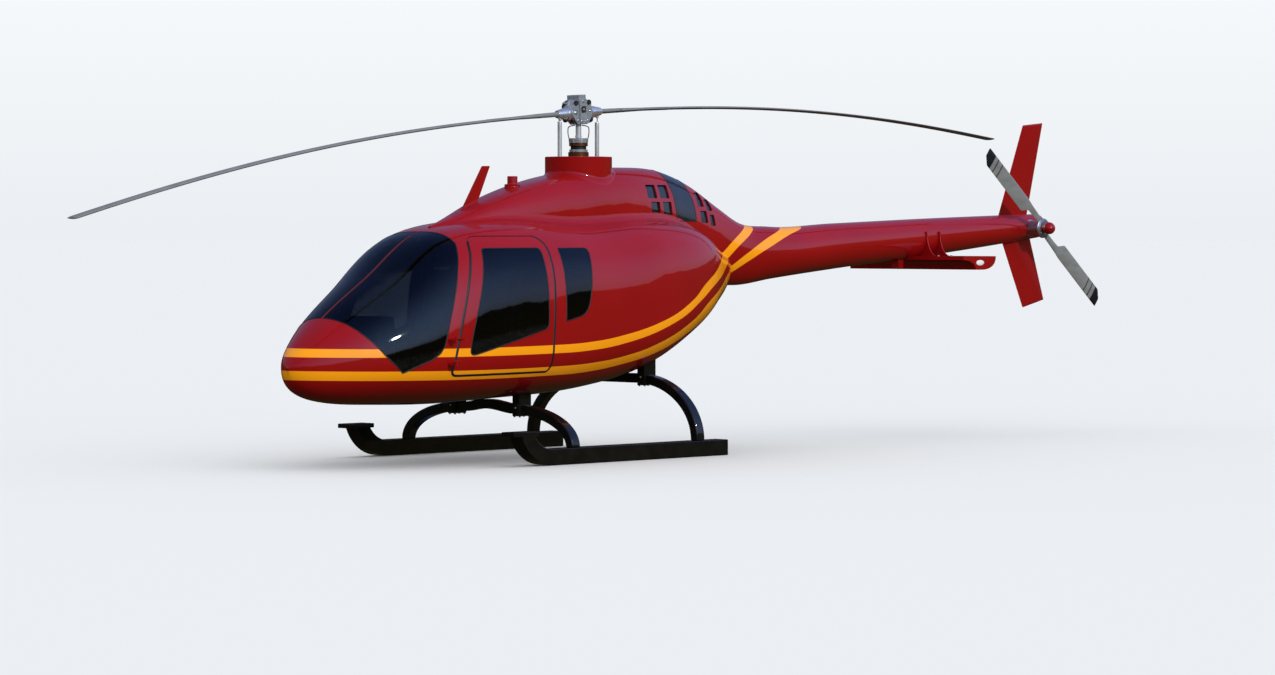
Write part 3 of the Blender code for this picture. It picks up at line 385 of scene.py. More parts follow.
seen = ramp(sky, spread, [(0.0, GROUND), (0.44, GROUND), (0.475, TREES), (0.496, TREES),
                          (0.500, (0.40, 0.47, 0.62)), (0.54, (0.40, 0.53, 0.90)), (0.63, (0.27, 0.41, 0.86)),
                          (0.75, (0.13, 0.23, 0.62)), (1.0, HIGH_SKY)])
KEY_ROUND, KEY_UP = math.radians(81.9), math.radians(26.7)
FILL, BELOW = (0.95, 0.97, 1.0), (0.10, 0.09, 0.07)
falling = ramp(sky, add_node(sky, "ShaderNodeMapRange", [up_part, -1.0, 1.0, 0.0, 1.0]).outputs[0],
               [(0.42, BELOW), (0.56, FILL)])
pale_top = ramp(sky, add_node(sky, "ShaderNodeMapRange", [up_part, 0.0, 0.07, 0.0, 1.0]).outputs[0],
                [(0.0, (0.830, 0.863, 0.896)), (1.0, (0.945, 0.965, 0.985))])
path = add_node(sky, "ShaderNodeLightPath")
backdrop = add_node(sky, "ShaderNodeBackground", [pale_top, 1.0])
key_way = (math.cos(KEY_ROUND) * math.cos(KEY_UP), math.sin(KEY_ROUND) * math.cos(KEY_UP), math.sin(KEY_UP))
SKY_SIDE = (math.cos(math.radians(110)), math.sin(math.radians(110)), 0)
side_share = add_node(sky, "ShaderNodeVectorMath", [way, SKY_SIDE], operation="DOT_PRODUCT").outputs["Value"]
side_share = add_node(sky, "ShaderNodeMapRange", [side_share, -0.6, 0.8, 0.30, 1.10]).outputs[0]
near_key = add_node(sky, "ShaderNodeVectorMath", [way, key_way], operation="DOT_PRODUCT").outputs["Value"]
near_key = add_node(sky, "ShaderNodeMath", [near_key, 0.0], operation="MAXIMUM").outputs[0]
near_key = add_node(sky, "ShaderNodeMath", [near_key, 7.0], operation="POWER").outputs[0]
open_sky = add_node(sky, "ShaderNodeMapRange", [height, 0.0, 0.03, 0.0, 1.0]).outputs[0]
near_key = add_node(sky, "ShaderNodeMath", [near_key, open_sky], operation="MULTIPLY").outputs[0]
plain_sky = add_node(sky, "ShaderNodeBackground", [seen, side_share])
glow = add_node(sky, "ShaderNodeBackground", [(0.26, 0.42, 0.60, 1.0), near_key])
mirrored = add_node(sky, "ShaderNodeAddShader", [plain_sky.outputs[0], glow.outputs[0]])
soft_fill = add_node(sky, "ShaderNodeBackground", [falling, 1.0])
lit = add_node(sky, "ShaderNodeMixShader",
               [path.outputs["Is Glossy Ray"], soft_fill.outputs[0], mirrored.outputs[0]])
chosen = add_node(sky, "ShaderNodeMixShader",
                  [path.outputs["Is Camera Ray"], lit.outputs[0], backdrop.outputs[0]])
add_node(sky, "ShaderNodeOutputWorld", [chosen.outputs[0]])

# %% Floor
FLOOR_HALF, FLOOR_DROP = 400.0, 0.002
floor_mesh = bpy.data.meshes.new("floor")
corner = FLOOR_HALF * np.array([(-1, -1), (1, -1), (1, 1), (-1, 1)])
floor_mesh.from_pydata([(x, y, -FLOOR_DROP) for x, y in corner.tolist()], [], [(0, 1, 2, 3)])
floor = bpy.data.objects.new("floor", floor_mesh)
scene.collection.objects.link(floor)
pale = bpy.data.materials.new("pale floor")
pale.use_nodes = True
even = pale.node_tree.nodes["Principled BSDF"]
even.inputs["Base Color"].default_value = (0.880, 0.895, 0.905, 1)
even.inputs["Roughness"].default_value = 1.0
even.inputs["Specular IOR Level"].default_value = 0.0
floor_mesh.materials.append(pale)
floor.visible_glossy = floor.visible_diffuse = False

# %% Lamps


def soft_lamp(name, towards, spread, strength):
    """A far lamp of so many degrees across, given by the unit vector towards it."""
    lamp = bpy.data.lights.new(name, "SUN")
    lamp.angle, lamp.energy = math.radians(spread), strength
    made = bpy.data.objects.new(name, lamp)
    scene.collection.objects.link(made)
    towards = Vector(towards)
    facing = towards.to_track_quat("Z", "Y").to_matrix().to_4x4()
    made.matrix_world = Matrix.Translation(towards * 30) @ facing
    return lamp, made


key_lamp, key = soft_lamp("key_lamp", key_way, 3.0, 1.60)
key_lamp.color = (1.0, 0.965, 0.90)
unlit = bpy.data.collections.new("floor without the key lamp")
unlit.objects.link(floor)
key.light_linking.receiver_collection = unlit
unlit.collection_objects[0].light_linking.link_state = "EXCLUDE"
print("world, floor and key lamp ready; it stands", round(math.degrees(KEY_UP), 1), "degrees up")

# %% [markdown]
# ## Paint, glass and metal
# The body is painted deep red under a thick clear coat, with two yellow-orange stripes along each side.
# Masked stripes are part of the paint, so they are drawn in the paint's own nodes, from the object's
# coordinates: a curve gives the height of each stripe's edge at every x. Fine noise in the coat gives
# the slight orange peel of sprayed paint, and a slow one varies the colour a little.

# %% Stripe edges, as x and z on the body and on the cowling and boom behind it
BODY_STRIPES = [
    ([(3.6, 1.040), (1.2, 1.040), (0.80, 1.055), (0.388, 1.099), (-0.237, 1.234), (-0.676, 1.409),
      (-0.905, 1.552), (-1.131, 1.660), (-1.307, 1.750), (-1.60, 1.90), (-2.2, 2.20)],
     [(3.6, 0.967), (1.2, 0.967), (0.80, 0.980), (0.35, 1.028), (-0.435, 1.225), (-0.828, 1.406),
      (-1.077, 1.531), (-1.364, 1.638), (-1.553, 1.719), (-1.80, 1.82), (-2.2, 2.00)]),
    ([(3.6, 0.850), (1.1, 0.850), (0.70, 0.868), (0.29, 0.914), (-0.25, 1.040), (-0.73, 1.227),
      (-1.022, 1.402), (-1.369, 1.545), (-1.636, 1.653), (-1.761, 1.707), (-2.2, 1.90)],
     [(3.6, 0.770), (1.1, 0.770), (0.70, 0.788), (0.23, 0.845), (-0.30, 0.955), (-0.75, 1.110),
      (-1.07, 1.230), (-1.321, 1.415), (-1.559, 1.503), (-1.734, 1.613), (-2.2, 1.80)])]
BOOM_STRIPES = [
    ([(-1.50, 1.67), (-1.725, 1.845), (-1.877, 1.958), (-2.040, 2.047), (-2.126, 2.084), (-2.20, 2.14)],
     [(-1.50, 1.53), (-1.792, 1.785), (-1.944, 1.903), (-2.142, 2.012), (-2.241, 2.061), (-2.34, 2.14)]),
    ([(-1.60, 1.53), (-1.848, 1.704), (-2.036, 1.822), (-2.340, 1.965), (-2.646, 2.060), (-2.90, 2.14)],
     [(-1.60, 1.44), (-1.884, 1.649), (-2.112, 1.775), (-2.355, 1.884), (-2.661, 1.994), (-2.953, 2.065),
      (-3.15, 2.14)])]
STRIPE_X, STRIPE_Z = (-3.4, 3.8), (0.6, 2.3)
print("stripes with", sum(len(edge) for pair in BODY_STRIPES for edge in pair), "edge points on the body")

# %% Material helpers


def new_material(name):
    """An empty node material with a glossy shader; returns it with its tree and shader."""
    made = bpy.data.materials.new(name)
    made.use_nodes = True
    tree = made.node_tree
    return made, tree, tree.nodes["Principled BSDF"]


def object_place(tree, scale=(1, 1, 1)):
    """The place on the piece, stretched by a scale."""
    spot = add_node(tree, "ShaderNodeTexCoord").outputs["Object"]
    if scale == (1, 1, 1):
        return spot
    return add_node(tree, "ShaderNodeMapping", {"Vector": spot, "Scale": scale}).outputs[0]


def noise(tree, spot, scale, detail=3.0, rough=0.5):
    """Cloudy noise between 0 and 1."""
    return add_node(tree, "ShaderNodeTexNoise", {"Vector": spot, "Scale": scale, "Detail": detail,
                                                 "Roughness": rough}).outputs["Fac"]


def bump(tree, shader, height, strength, distance=0.001, sockets=("Normal",)):
    """Tilts the shader as if the surface rose by height times distance."""
    made = add_node(tree, "ShaderNodeBump", {"Strength": strength, "Distance": distance, "Height": height})
    for socket in sockets:
        tree.links.new(made.outputs[0], shader.inputs[socket])


def mixed(tree, factor, a, b):
    """Colour a where the factor is 0 and b where it is 1."""
    node = add_node(tree, "ShaderNodeMix", data_type="RGBA")
    for key, value in ((0, factor), (6, a), (7, b)):
        if isinstance(value, bpy.types.NodeSocket):
            tree.links.new(value, node.inputs[key])
        else:
            node.inputs[key].default_value = (*value, 1.0) if key else value
    return node.outputs[2]


def sums(tree, kind, *values):
    """One arithmetic node on its values."""
    return add_node(tree, "ShaderNodeMath", list(values), operation=kind).outputs[0]


def edge_height(tree, x, points):
    """Float curve: z of a stripe's edge at x, both mapped to 0 to 1 over the stripes' range."""
    node = add_node(tree, "ShaderNodeFloatCurve", [1.0, x])
    curve = node.mapping.curves[0]
    (x_low, x_high), (z_low, z_high) = STRIPE_X, STRIPE_Z
    scaled = [((a - x_low) / (x_high - x_low), (b - z_low) / (z_high - z_low)) for a, b in sorted(points)]
    while len(curve.points) < len(scaled):
        curve.points.new(0.5, 0.5)
    for point, spot in zip(curve.points, scaled):
        point.location, point.handle_type = spot, "AUTO"
    node.mapping.update()
    return node.outputs[0]


def painted(name, stripes=()):
    """Red paint whose colour turns to yellow between the edges of each stripe."""
    made, tree, shader = new_material(name)
    spot = object_place(tree)
    cloud = noise(tree, spot, 1.6, 4.0)
    red = ramp(tree, cloud, [(0.3, (0.262, 0.0030, 0.0035)), (0.7, (0.290, 0.0038, 0.0045))])
    if stripes:
        parts = add_node(tree, "ShaderNodeSeparateXYZ", [spot])
        x = add_node(tree, "ShaderNodeMapRange",
                     [parts.outputs["X"], STRIPE_X[0] + MAST_X, STRIPE_X[1] + MAST_X, 0, 1]).outputs[0]
        z = add_node(tree, "ShaderNodeMapRange", [parts.outputs["Z"], *STRIPE_Z, 0, 1]).outputs[0]
        inside = None
        for upper, lower in stripes:
            above = sums(tree, "SUBTRACT", edge_height(tree, x, upper), z)
            below = sums(tree, "SUBTRACT", z, edge_height(tree, x, lower))
            both = sums(tree, "MINIMUM", above, below)
            soft = add_node(tree, "ShaderNodeMapRange", [both, -0.0006, 0.0006, 0, 1]).outputs[0]
            inside = soft if inside is None else sums(tree, "MAXIMUM", inside, soft)
        yellow = ramp(tree, cloud, [(0.3, (0.96, 0.345, 0.006)), (0.7, (0.99, 0.375, 0.008))])
        red = mixed(tree, inside, red, yellow)
    tree.links.new(red, shader.inputs["Base Color"])
    wear = add_node(tree, "ShaderNodeMapRange", [noise(tree, spot, 5.0, 4.0), 0.2, 0.8, 0.34, 0.40])
    tree.links.new(wear.outputs[0], shader.inputs["Roughness"])
    shader.inputs["Specular IOR Level"].default_value = 0.04
    shader.inputs["Coat Weight"].default_value = 1.0
    shader.inputs["Coat Roughness"].default_value = 0.03
    bump(tree, shader, noise(tree, spot, 130.0, 1.0), 0.02, 0.0001, ("Normal", "Coat Normal"))
    return made


def plain_finish(name, dark, light, rough, metallic=0.0, grain=(40, 40, 40), grain_depth=0.05, coat=0.0):
    """One substance: a colour between two tones, roughness and a fine bump that follow the same grain."""
    made, tree, shader = new_material(name)
    cloud = noise(tree, object_place(tree, grain), 1.0, 4.0)
    tree.links.new(ramp(tree, cloud, [(0.3, dark), (0.7, light)]), shader.inputs["Base Color"])
    level = add_node(tree, "ShaderNodeMapRange", [cloud, 0.2, 0.8, rough - 0.06, rough + 0.06])
    tree.links.new(level.outputs[0], shader.inputs["Roughness"])
    shader.inputs["Metallic"].default_value = metallic
    shader.inputs["Specular IOR Level"].default_value = 0.1 if coat == 1.0 else 0.5
    shader.inputs["Coat Weight"].default_value = coat
    shader.inputs["Coat Roughness"].default_value = 0.04
    bump(tree, shader, cloud, grain_depth, 0.0005)
    return made


# %% The finishes
BODY_PAINT = painted("red paint with body stripes", BODY_STRIPES)
BOOM_PAINT = painted("red paint with boom stripes", BOOM_STRIPES)
RED_PAINT = painted("red paint")
GEAR_BLACK = plain_finish("gear black", (0.0035, 0.0035, 0.0035), (0.007, 0.007, 0.007), 0.22,
                          grain=(9, 9, 9), grain_depth=0.03, coat=1.0)
RUBBER = plain_finish("black rubber seal", (0.003, 0.003, 0.003), (0.006, 0.006, 0.006), 0.55)
ROD = plain_finish("bright rod", (0.62, 0.64, 0.66), (0.74, 0.76, 0.78), 0.34, 0.55, (60, 60, 8), 0.03)
STEEL = plain_finish("polished steel", (0.62, 0.65, 0.68), (0.74, 0.77, 0.80), 0.26, 0.80, (60, 60, 6), 0.03)
DARK_STEEL = plain_finish("oiled dark steel", (0.06, 0.055, 0.05), (0.11, 0.10, 0.09), 0.35, 0.8,
                          (50, 50, 50))
HUB_STEEL = plain_finish("blue-grey hub steel", (0.30, 0.34, 0.39), (0.40, 0.44, 0.49), 0.30, 0.45,
                         (18, 18, 18), 0.05)
BRONZE = plain_finish("bronze bearing", (0.16, 0.065, 0.025), (0.26, 0.11, 0.045), 0.32, 0.9, (30, 30, 90))
ALLOY = plain_finish("cast alloy", (0.38, 0.39, 0.41), (0.52, 0.53, 0.55), 0.42, 1.0, (70, 70, 70), 0.2)
LENS_WHITE = plain_finish("white lamp lens", (0.80, 0.82, 0.84), (0.9, 0.92, 0.94), 0.15,
                          grain=(30, 30, 30), grain_depth=0.1, coat=0.6)
CLOTH = plain_finish("seat cloth", (0.020, 0.021, 0.025), (0.045, 0.047, 0.055), 0.85,
                     grain=(220, 220, 220), grain_depth=0.5)
TRIM = plain_finish("cabin trim", (0.025, 0.026, 0.029), (0.040, 0.041, 0.045), 0.62,
                    grain=(160, 160, 160), grain_depth=0.35)
GRILLE = plain_finish("dark grille", (0.004, 0.005, 0.006), (0.010, 0.011, 0.013), 0.16,
                      grain=(12, 12, 12), grain_depth=0.03, coat=0.5)
ENGINE = plain_finish("engine casing", (0.20, 0.20, 0.20), (0.32, 0.31, 0.30), 0.45, 0.9, (26, 26, 26), 0.4)


def tinted(name, colour, rough=0.02):
    """Glass whose roughness and tint vary a little, as cleaned panes do."""
    made, tree, shader = new_material(name)
    spot = object_place(tree)
    smears = noise(tree, spot, 9.0, 5.0)
    haze = add_node(tree, "ShaderNodeMapRange", [smears, 0.3, 0.8, rough * 0.6, rough * 1.8])
    tree.links.new(haze.outputs[0], shader.inputs["Roughness"])
    tone = ramp(tree, noise(tree, spot, 0.8), [(0.3, colour), (0.7, tuple(c * 1.15 for c in colour))])
    tree.links.new(tone, shader.inputs["Base Color"])
    shader.inputs["Transmission Weight"].default_value = 1.0
    shader.inputs["IOR"].default_value = 1.5
    shader.inputs["Specular IOR Level"].default_value = 0.7
    return made


GLASS = tinted("dark tinted glass", (0.10, 0.115, 0.13))
print("finishes:", len(bpy.data.materials))

# %% [markdown]
# ## The cabin egg
# The real cabin is a moulded shell. Its form is one smooth egg: at each x the section is a
# superellipse, and its half width, top and bottom follow curves over the angle along the egg, so both
# ends come out round. The CAD cuts its panels from a coarse grid of this egg. Here the same formula runs
# on a fine grid, the panels are cut from that with exact Booleans, and every corner of a face on the
# skin gets the formula's own normal, so that reflections run across without a ripple.

# %% The egg's sections
NOSE_X, TAIL_X = 3.505, -1.965
BODY_X = [NOSE_X, 3.26, 3.0, 2.6, 2.1, 1.35, 0.4, -0.4, -1.05, -1.55, TAIL_X]
BODY_HALF = [0.0, 0.346, 0.535, 0.700, 0.840, 0.922, 0.912, 0.862, 0.703, 0.417, 0.0]
BODY_LOW = [0.852, 0.600, 0.550, 0.530, 0.520, 0.548, 0.600, 0.740, 1.008, 1.258, 1.619]
BODY_HIGH = [0.852, 1.179, 1.381, 1.644, 1.992, 2.140, 2.120, 2.155, 2.100, 1.890, 1.619]
WIDEST_Z = [(3.3, 0.870), (0.0, 1.179), (TAIL_X, 1.749)]
ROUND_TOP = [(3.0, 2.16), (1.5, 3.12), (-1.5, 3.55)]
ROUND_LOW = [(3.0, 2.23), (1.0, 2.59), (-1.5, 1.90)]
MIDDLE, REACH = (NOSE_X + TAIL_X) / 2, (NOSE_X - TAIL_X) / 2


def between(x, points):
    """Straight lines through points given from nose to tail."""
    xs, values = np.array(points[::-1]).T
    return np.interp(x, xs, values)


def egg_section(x):
    """Half width, low, high, height of the widest line, and the powers above and below it."""
    stations = np.arccos(np.clip((np.array(BODY_X) - MIDDLE) / REACH, -1, 1))
    t = np.arccos(np.clip((np.asarray(x, float) - MIDDLE) / REACH, -1, 1))
    half, low, high = (curve_through(t, stations, values) for values in (BODY_HALF, BODY_LOW, BODY_HIGH))
    return half, low, high, between(x, WIDEST_Z), between(x, ROUND_TOP), between(x, ROUND_LOW)


UPPER_X = [1.86, 1.66, 1.27, 0.77, 0.20, -0.50, -1.00, -1.41, -1.80, -2.08, -2.57, -3.50, -5.00, -6.68]
UPPER_HALF = [0.03, 0.13, 0.25, 0.34, 0.388, 0.36, 0.275, 0.225, 0.215, 0.225, 0.245, 0.222, 0.188, 0.125]
UPPER_HIGH = [2.085, 2.148, 2.300, 2.458, 2.570, 2.625, 2.598,
              2.472, 2.270, 2.128, 2.079, 2.110, 2.162, 2.207]
UPPER_WIDE = [2.02, 2.04, 2.06, 2.08, 2.09, 2.09, 2.07, 1.98, 1.87, 1.83, 1.827, 1.887, 1.976, 2.083]
UPPER_LOW = [1.96, 1.90, 1.85, 1.80, 1.78, 1.76, 1.72, 1.62, 1.535, 1.520, 1.575, 1.665, 1.792, 1.962]
UPPER_ROUND = [2.4, 2.6, 3.0, 3.0, 3.2, 2.6, 2.1, 2.0, 2.0, 2.0, 2.0, 2.0, 2.0, 2.0]


def upper_section(x):
    """The same six values for the cowling and the boom behind it."""
    tables = (UPPER_HALF, UPPER_HIGH, UPPER_WIDE, UPPER_LOW, UPPER_ROUND)
    half, high, widest, low, power = (curve_through(-np.asarray(x, float), -np.array(UPPER_X), values)
                                      for values in tables)
    return half, low, high, widest, power, power


def ring_grid(section, xs, placed_x=None, inset=0.0, around=96, thin=0.004):
    """Rings of |y/half|^p + |(z - widest)/rise|^p = 1, walked at even steps of a scaled polar angle."""
    half, low, high, widest, top, bottom = (np.array(v, float)[:, None] for v in section(xs))
    half, low, high = np.maximum(half - inset, thin), low + inset, high - inset
    widest = np.clip(widest, low + 0.01, high - 0.01)
    a = np.linspace(0, 2 * math.pi, around, endpoint=False)[None]
    c, s = np.cos(a), np.sin(a)
    power = np.where(s >= 0, top, bottom)
    r = (np.abs(c) ** power + np.abs(s) ** power) ** (-1 / power)
    y = half * r * c
    z = widest + np.where(s >= 0, high - widest, widest - low) * r * s
    x = np.broadcast_to((xs if placed_x is None else placed_x)[:, None], y.shape)
    return np.stack([x, y, z], -1)


def egg(name, inset=0.0, steps=90, around=112):
    """The whole egg, drawn in by inset, with a pole at each end."""
    t = np.linspace(0, math.pi, steps + 2)[1:-1]
    x = MIDDLE + REACH * np.cos(t)
    half, low, high = egg_section(x)[:3]
    keep = (half - inset > 0.012) & (high - low - 2 * inset > 0.024)
    grid = ring_grid(egg_section, x[keep], (MIDDLE + (REACH - inset) * np.cos(t))[keep], inset, around)
    nose = (MIDDLE + REACH - inset, 0, BODY_LOW[0])
    tail = (MIDDLE - REACH + inset, 0, BODY_LOW[-1])
    return skin_mesh(name, grid, (nose, tail))


def upper_skin(name, first, last, inset=0.0, steps=90, around=96):
    """A length of the cowling and boom, drawn in by inset."""
    return skin_mesh(name, ring_grid(upper_section, np.linspace(first, last, steps), None, inset, around))


def skin_value(section, points):
    """|y/half|^p + |(z - widest)/rise|^p, which is 1 on the skin, with its slopes along y and z.

    At the tail's very end the widest line leaves the egg, and the value isn't a number there. Such a
    point counts as inside, and its face keeps a flat normal.
    """
    x, y, z = points.T
    half, low, high, widest, top, bottom = section(x)
    above = z > widest
    rise = np.where(above, high - widest, widest - low)
    power = np.where(above, top, bottom)
    with np.errstate(invalid="ignore"):
        a, b = np.abs(y) / half, np.abs(z - widest) / rise
        return (a**power + b**power, power * a ** (power - 1) * np.sign(y) / half,
                power * b ** (power - 1) * np.where(above, 1, -1) / rise)


def skin_normals(section, points):
    """Gradient of the skin's value; x's part comes from a small step both ways."""
    x, y, z = points.T
    x = np.clip(x, TAIL_X + 0.004 if section is egg_section else -6.67, NOSE_X - 0.004)
    step = 0.001
    ahead, here, behind = (skin_value(section, np.stack([x + dx, y, z], -1)) for dx in (step, 0, -step))
    gradient = np.stack([(ahead[0] - behind[0]) / (2 * step), here[1], here[2]], -1)
    return gradient / np.maximum(np.linalg.norm(gradient, axis=1), 1e-9)[:, None]


def corners_of(mesh):
    """Points and face normals for every corner of every face, in mast coordinates."""
    points = points_of(mesh) - (MAST_X, 0, 0)
    which = np.empty(len(mesh.loops), int)
    mesh.loops.foreach_get("vertex_index", which)
    normals = np.empty(len(mesh.polygons) * 3)
    mesh.polygons.foreach_get("normal", normals)
    sizes = np.empty(len(mesh.polygons), int)
    mesh.polygons.foreach_get("loop_total", sizes)
    return points, which, np.repeat(normals.reshape(-1, 3), sizes, 0)


def polish(piece, section):
    """Corners of faces that lie along the skin take its own normal; the others keep their face's."""
    piece.modifiers.clear()
    points, which, flat = corners_of(piece.data)
    smooth = skin_normals(section, points)[which]
    facing = (smooth * flat).sum(1)[:, None]
    chosen = np.where(facing > 0.8, smooth, np.where(facing < -0.8, -smooth, flat))
    piece.data.normals_split_custom_set(chosen.tolist())
    return piece


def rims(mesh, section):
    """Closed lines of points where the outer skin of a panel ends, in mast coordinates."""
    made = bmesh.new()
    made.from_mesh(mesh)
    middles = np.array([face.calc_center_median() for face in made.faces]) - (MAST_X, 0, 0)
    normals = np.array([face.normal for face in made.faces])
    outer = (skin_normals(section, middles) * normals).sum(1) > 0.8
    border = {}
    for edge in made.edges:
        if sum(bool(outer[face.index]) for face in edge.link_faces) == 1:
            a, b = (vert.index for vert in edge.verts)
            border.setdefault(a, []).append(b)
            border.setdefault(b, []).append(a)
    made.verts.ensure_lookup_table()
    loops, seen = [], set()
    for start in border:
        if start in seen:
            continue
        line, here = [start], border[start][0]
        while here != start and here not in line:
            line.append(here)
            ways = [k for k in border[here] if k not in line[-2:]]
            here = ways[0] if ways else start
        seen.update(line)
        loops.append(np.array([made.verts[k].co for k in line]) - (MAST_X, 0, 0))
    made.free()
    return loops


def evenly(line, step):
    """Points at equal distances along a closed line."""
    closed = np.concatenate([line, line[:1]])
    run = np.concatenate([[0], np.cumsum(np.linalg.norm(np.diff(closed, axis=0), axis=1))])
    at = np.linspace(0, run[-1], max(int(run[-1] / step), 12), endpoint=False)
    return np.stack([np.interp(at, run, closed[:, k]) for k in range(3)], -1)


def seal(name, mesh, section, body, width=0.011, proud=0.003, step=0.012):
    """A rubber strip of oval section that lies on the skin along a panel's edge."""
    a = np.linspace(0, 2 * math.pi, 10, endpoint=False)
    oval = np.stack([proud * np.sin(a), width / 2 * np.cos(a)], -1)
    strips = []
    for line in rims(mesh, section):
        points = evenly(line, step)
        if len(points) < 24:
            continue
        strips.append(sweep(name, points, oval, skin_normals(section, points), closed=True))
    return add_piece(name, joined(name, strips), RUBBER, body, sharp=60)


print("egg grid:", len(egg("trial_egg").vertices), "points")

# %% [markdown]
# ## Cutting the panels
# Doors and windows on the real cabin are cut on lines that look straight from the side. So each opening
# is an outline in the side view, made a prism through the wall. A door's rear edge is different: it has
# to swing out round its hinge, so it is cut by the drum that the edge itself sweeps.

# %% Outlines
NOSE_EDGE = [(2.755, 0.823), (2.906, 0.978), (3.04, 1.165), (3.125, 1.300)]
GLASS_REAR = [(1.985, 2.05), (2.02, 1.93), (2.07, 1.85), (2.15, 1.70), (2.24, 1.49), (2.32, 1.28),
              (2.385, 1.05), (2.43, 0.985), (2.51, 0.93), (2.62, 0.885)]
WINDSHIELD_OUTLINE = NOSE_EDGE + [(3.45, 1.75), (3.0, 2.45), (1.985, 2.45)] + GLASS_REAR
NOSE_OUTLINE = [(2.755, 0.20), (4.0, 0.20), (4.0, 1.70), (3.30, 1.52)] + NOSE_EDGE[::-1]
DOOR_OUTLINE = rounded([(1.100, 2.000), (1.100, 0.800), (2.325, 0.785), (2.215, 1.29), (2.060, 1.69),
                        (1.900, 2.000)], [0, 0, 0.08, 0.9, 0.9, 0.10])
DOOR_EDGE = rounded([(1.50, 0.788), (1.2235, 0.788), (1.220, 1.03), (1.200, 1.33), (1.153, 2.010),
                     (1.55, 2.010)], [0, 0.09, 0, 0, 0.17, 0])
DOOR_LOW, DOOR_HIGH = 0.70, 2.10
DOOR_GLASS = rounded([(1.255, 1.893), (1.285, 1.190), (2.150, 0.955), (2.105, 1.20), (1.945, 1.65),
                      (1.850, 1.893)], [0.04, 0.05, 0.07, 0.6, 0.6, 0.04])
SIDE_GLASS = rounded([(1.045, 1.890), (0.665, 1.890), (0.735, 1.52), (0.800, 1.310), (1.070, 1.245)],
                     [0.02, 0.05, 0.5, 0.10, 0.02])
POST_HALF, GAP, DOOR_GAP, JAMB = 0.0125, 0.0003, 0.006, 0.022
WALL, DOOR_WALL, PANE = 0.045, 0.030, 0.008
HINGE_X, HINGE_Y = 2.338, 0.858
SIDE_NEAR, SIDE_FAR = 0.30, 1.30


def skin_half(x, z):
    """Distance of the skin from the middle plane."""
    half, low, high, widest, top, bottom = egg_section(x)
    power = np.where(z > widest, top, bottom)
    share = np.where(z > widest, (z - widest) / (high - widest), (widest - z) / (widest - low))
    return half * (1 - np.minimum(share, 0.999) ** power) ** (1 / power)


def drum(name, sign, less):
    """The solid that a door's closing edge sweeps about the hinge, drawn in by a distance."""
    edge = np.concatenate([[(DOOR_EDGE[0][0], DOOR_LOW)], DOOR_EDGE, [(DOOR_EDGE[-1][0], DOOR_HIGH)]])
    run = np.concatenate([[0], np.cumsum(np.linalg.norm(np.diff(edge, axis=0), axis=1))])
    at = np.unique(np.concatenate([run, np.linspace(0, run[-1], 40)]))
    x, z = (np.interp(at, run, edge[:, k]) for k in (0, 1))
    radius = np.hypot(HINGE_X - x, HINGE_Y - skin_half(x, np.clip(z, 0.75, 2.05)))
    profile = grown([(0, DOOR_LOW)] + list(zip(radius, z)) + [(0, DOOR_HIGH)], -less)
    profile[[0, -1], 0] = 0
    return lathe(name, profile, (HINGE_X, sign * HINGE_Y, 0), sides=180)


def both_sides(name, outline, low, high):
    """A side outline pushed through both sides of the body."""
    return joined(name, [side_prism(name, outline, low, high), side_prism(name, outline, -high, -low)])


outer, wall_inner = egg("outer"), egg("wall_inner", WALL)
print("outlines of", len(DOOR_OUTLINE), len(DOOR_GLASS), len(SIDE_GLASS), "points")

# %% Shell and nose


def door_hole(name, sign, outline_by, drum_by):
    """What a door leaves open: its outline and its drum, both drawn in by so much."""
    low, high = sorted((sign * SIDE_NEAR, sign * SIDE_FAR))
    hole = side_prism(name, grown(DOOR_OUTLINE, outline_by), low, high)
    return carved(hole, drum(name + "_drum", sign, drum_by), "INTERSECT")


shell = carved(outer.copy(), wall_inner)
nose = carved(shell.copy(), side_prism("nose_keep", NOSE_OUTLINE, -SIDE_FAR, SIDE_FAR), "INTERSECT")
shell = carved(shell, side_prism("nose_cut", grown(NOSE_OUTLINE, GAP), -SIDE_FAR, SIDE_FAR))
shell = carved(shell, both_sides("windshield_cut", WINDSHIELD_OUTLINE, POST_HALF, SIDE_FAR))
shell = carved(shell, both_sides("side_glass_cut", SIDE_GLASS, SIDE_NEAR, SIDE_FAR))
seat_egg = egg("door_seat", DOOR_WALL + 0.0055)
for sign in SIDES.values():
    shell = carved(shell, door_hole("way", sign, -JAMB, JAMB + 0.02))
    shell = carved(shell, carved(door_hole("rebate", sign, 0, 0), seat_egg.copy()))
for name, mesh, node in (("cabin_shell_skin", shell, "cabin_shell"), ("nose_skin", nose, "nose_shell")):
    polish(add_piece(name, mesh, BODY_PAINT, "airframe", [node]), egg_section)
print("shell", len(shell.polygons), "faces, nose", len(nose.polygons))

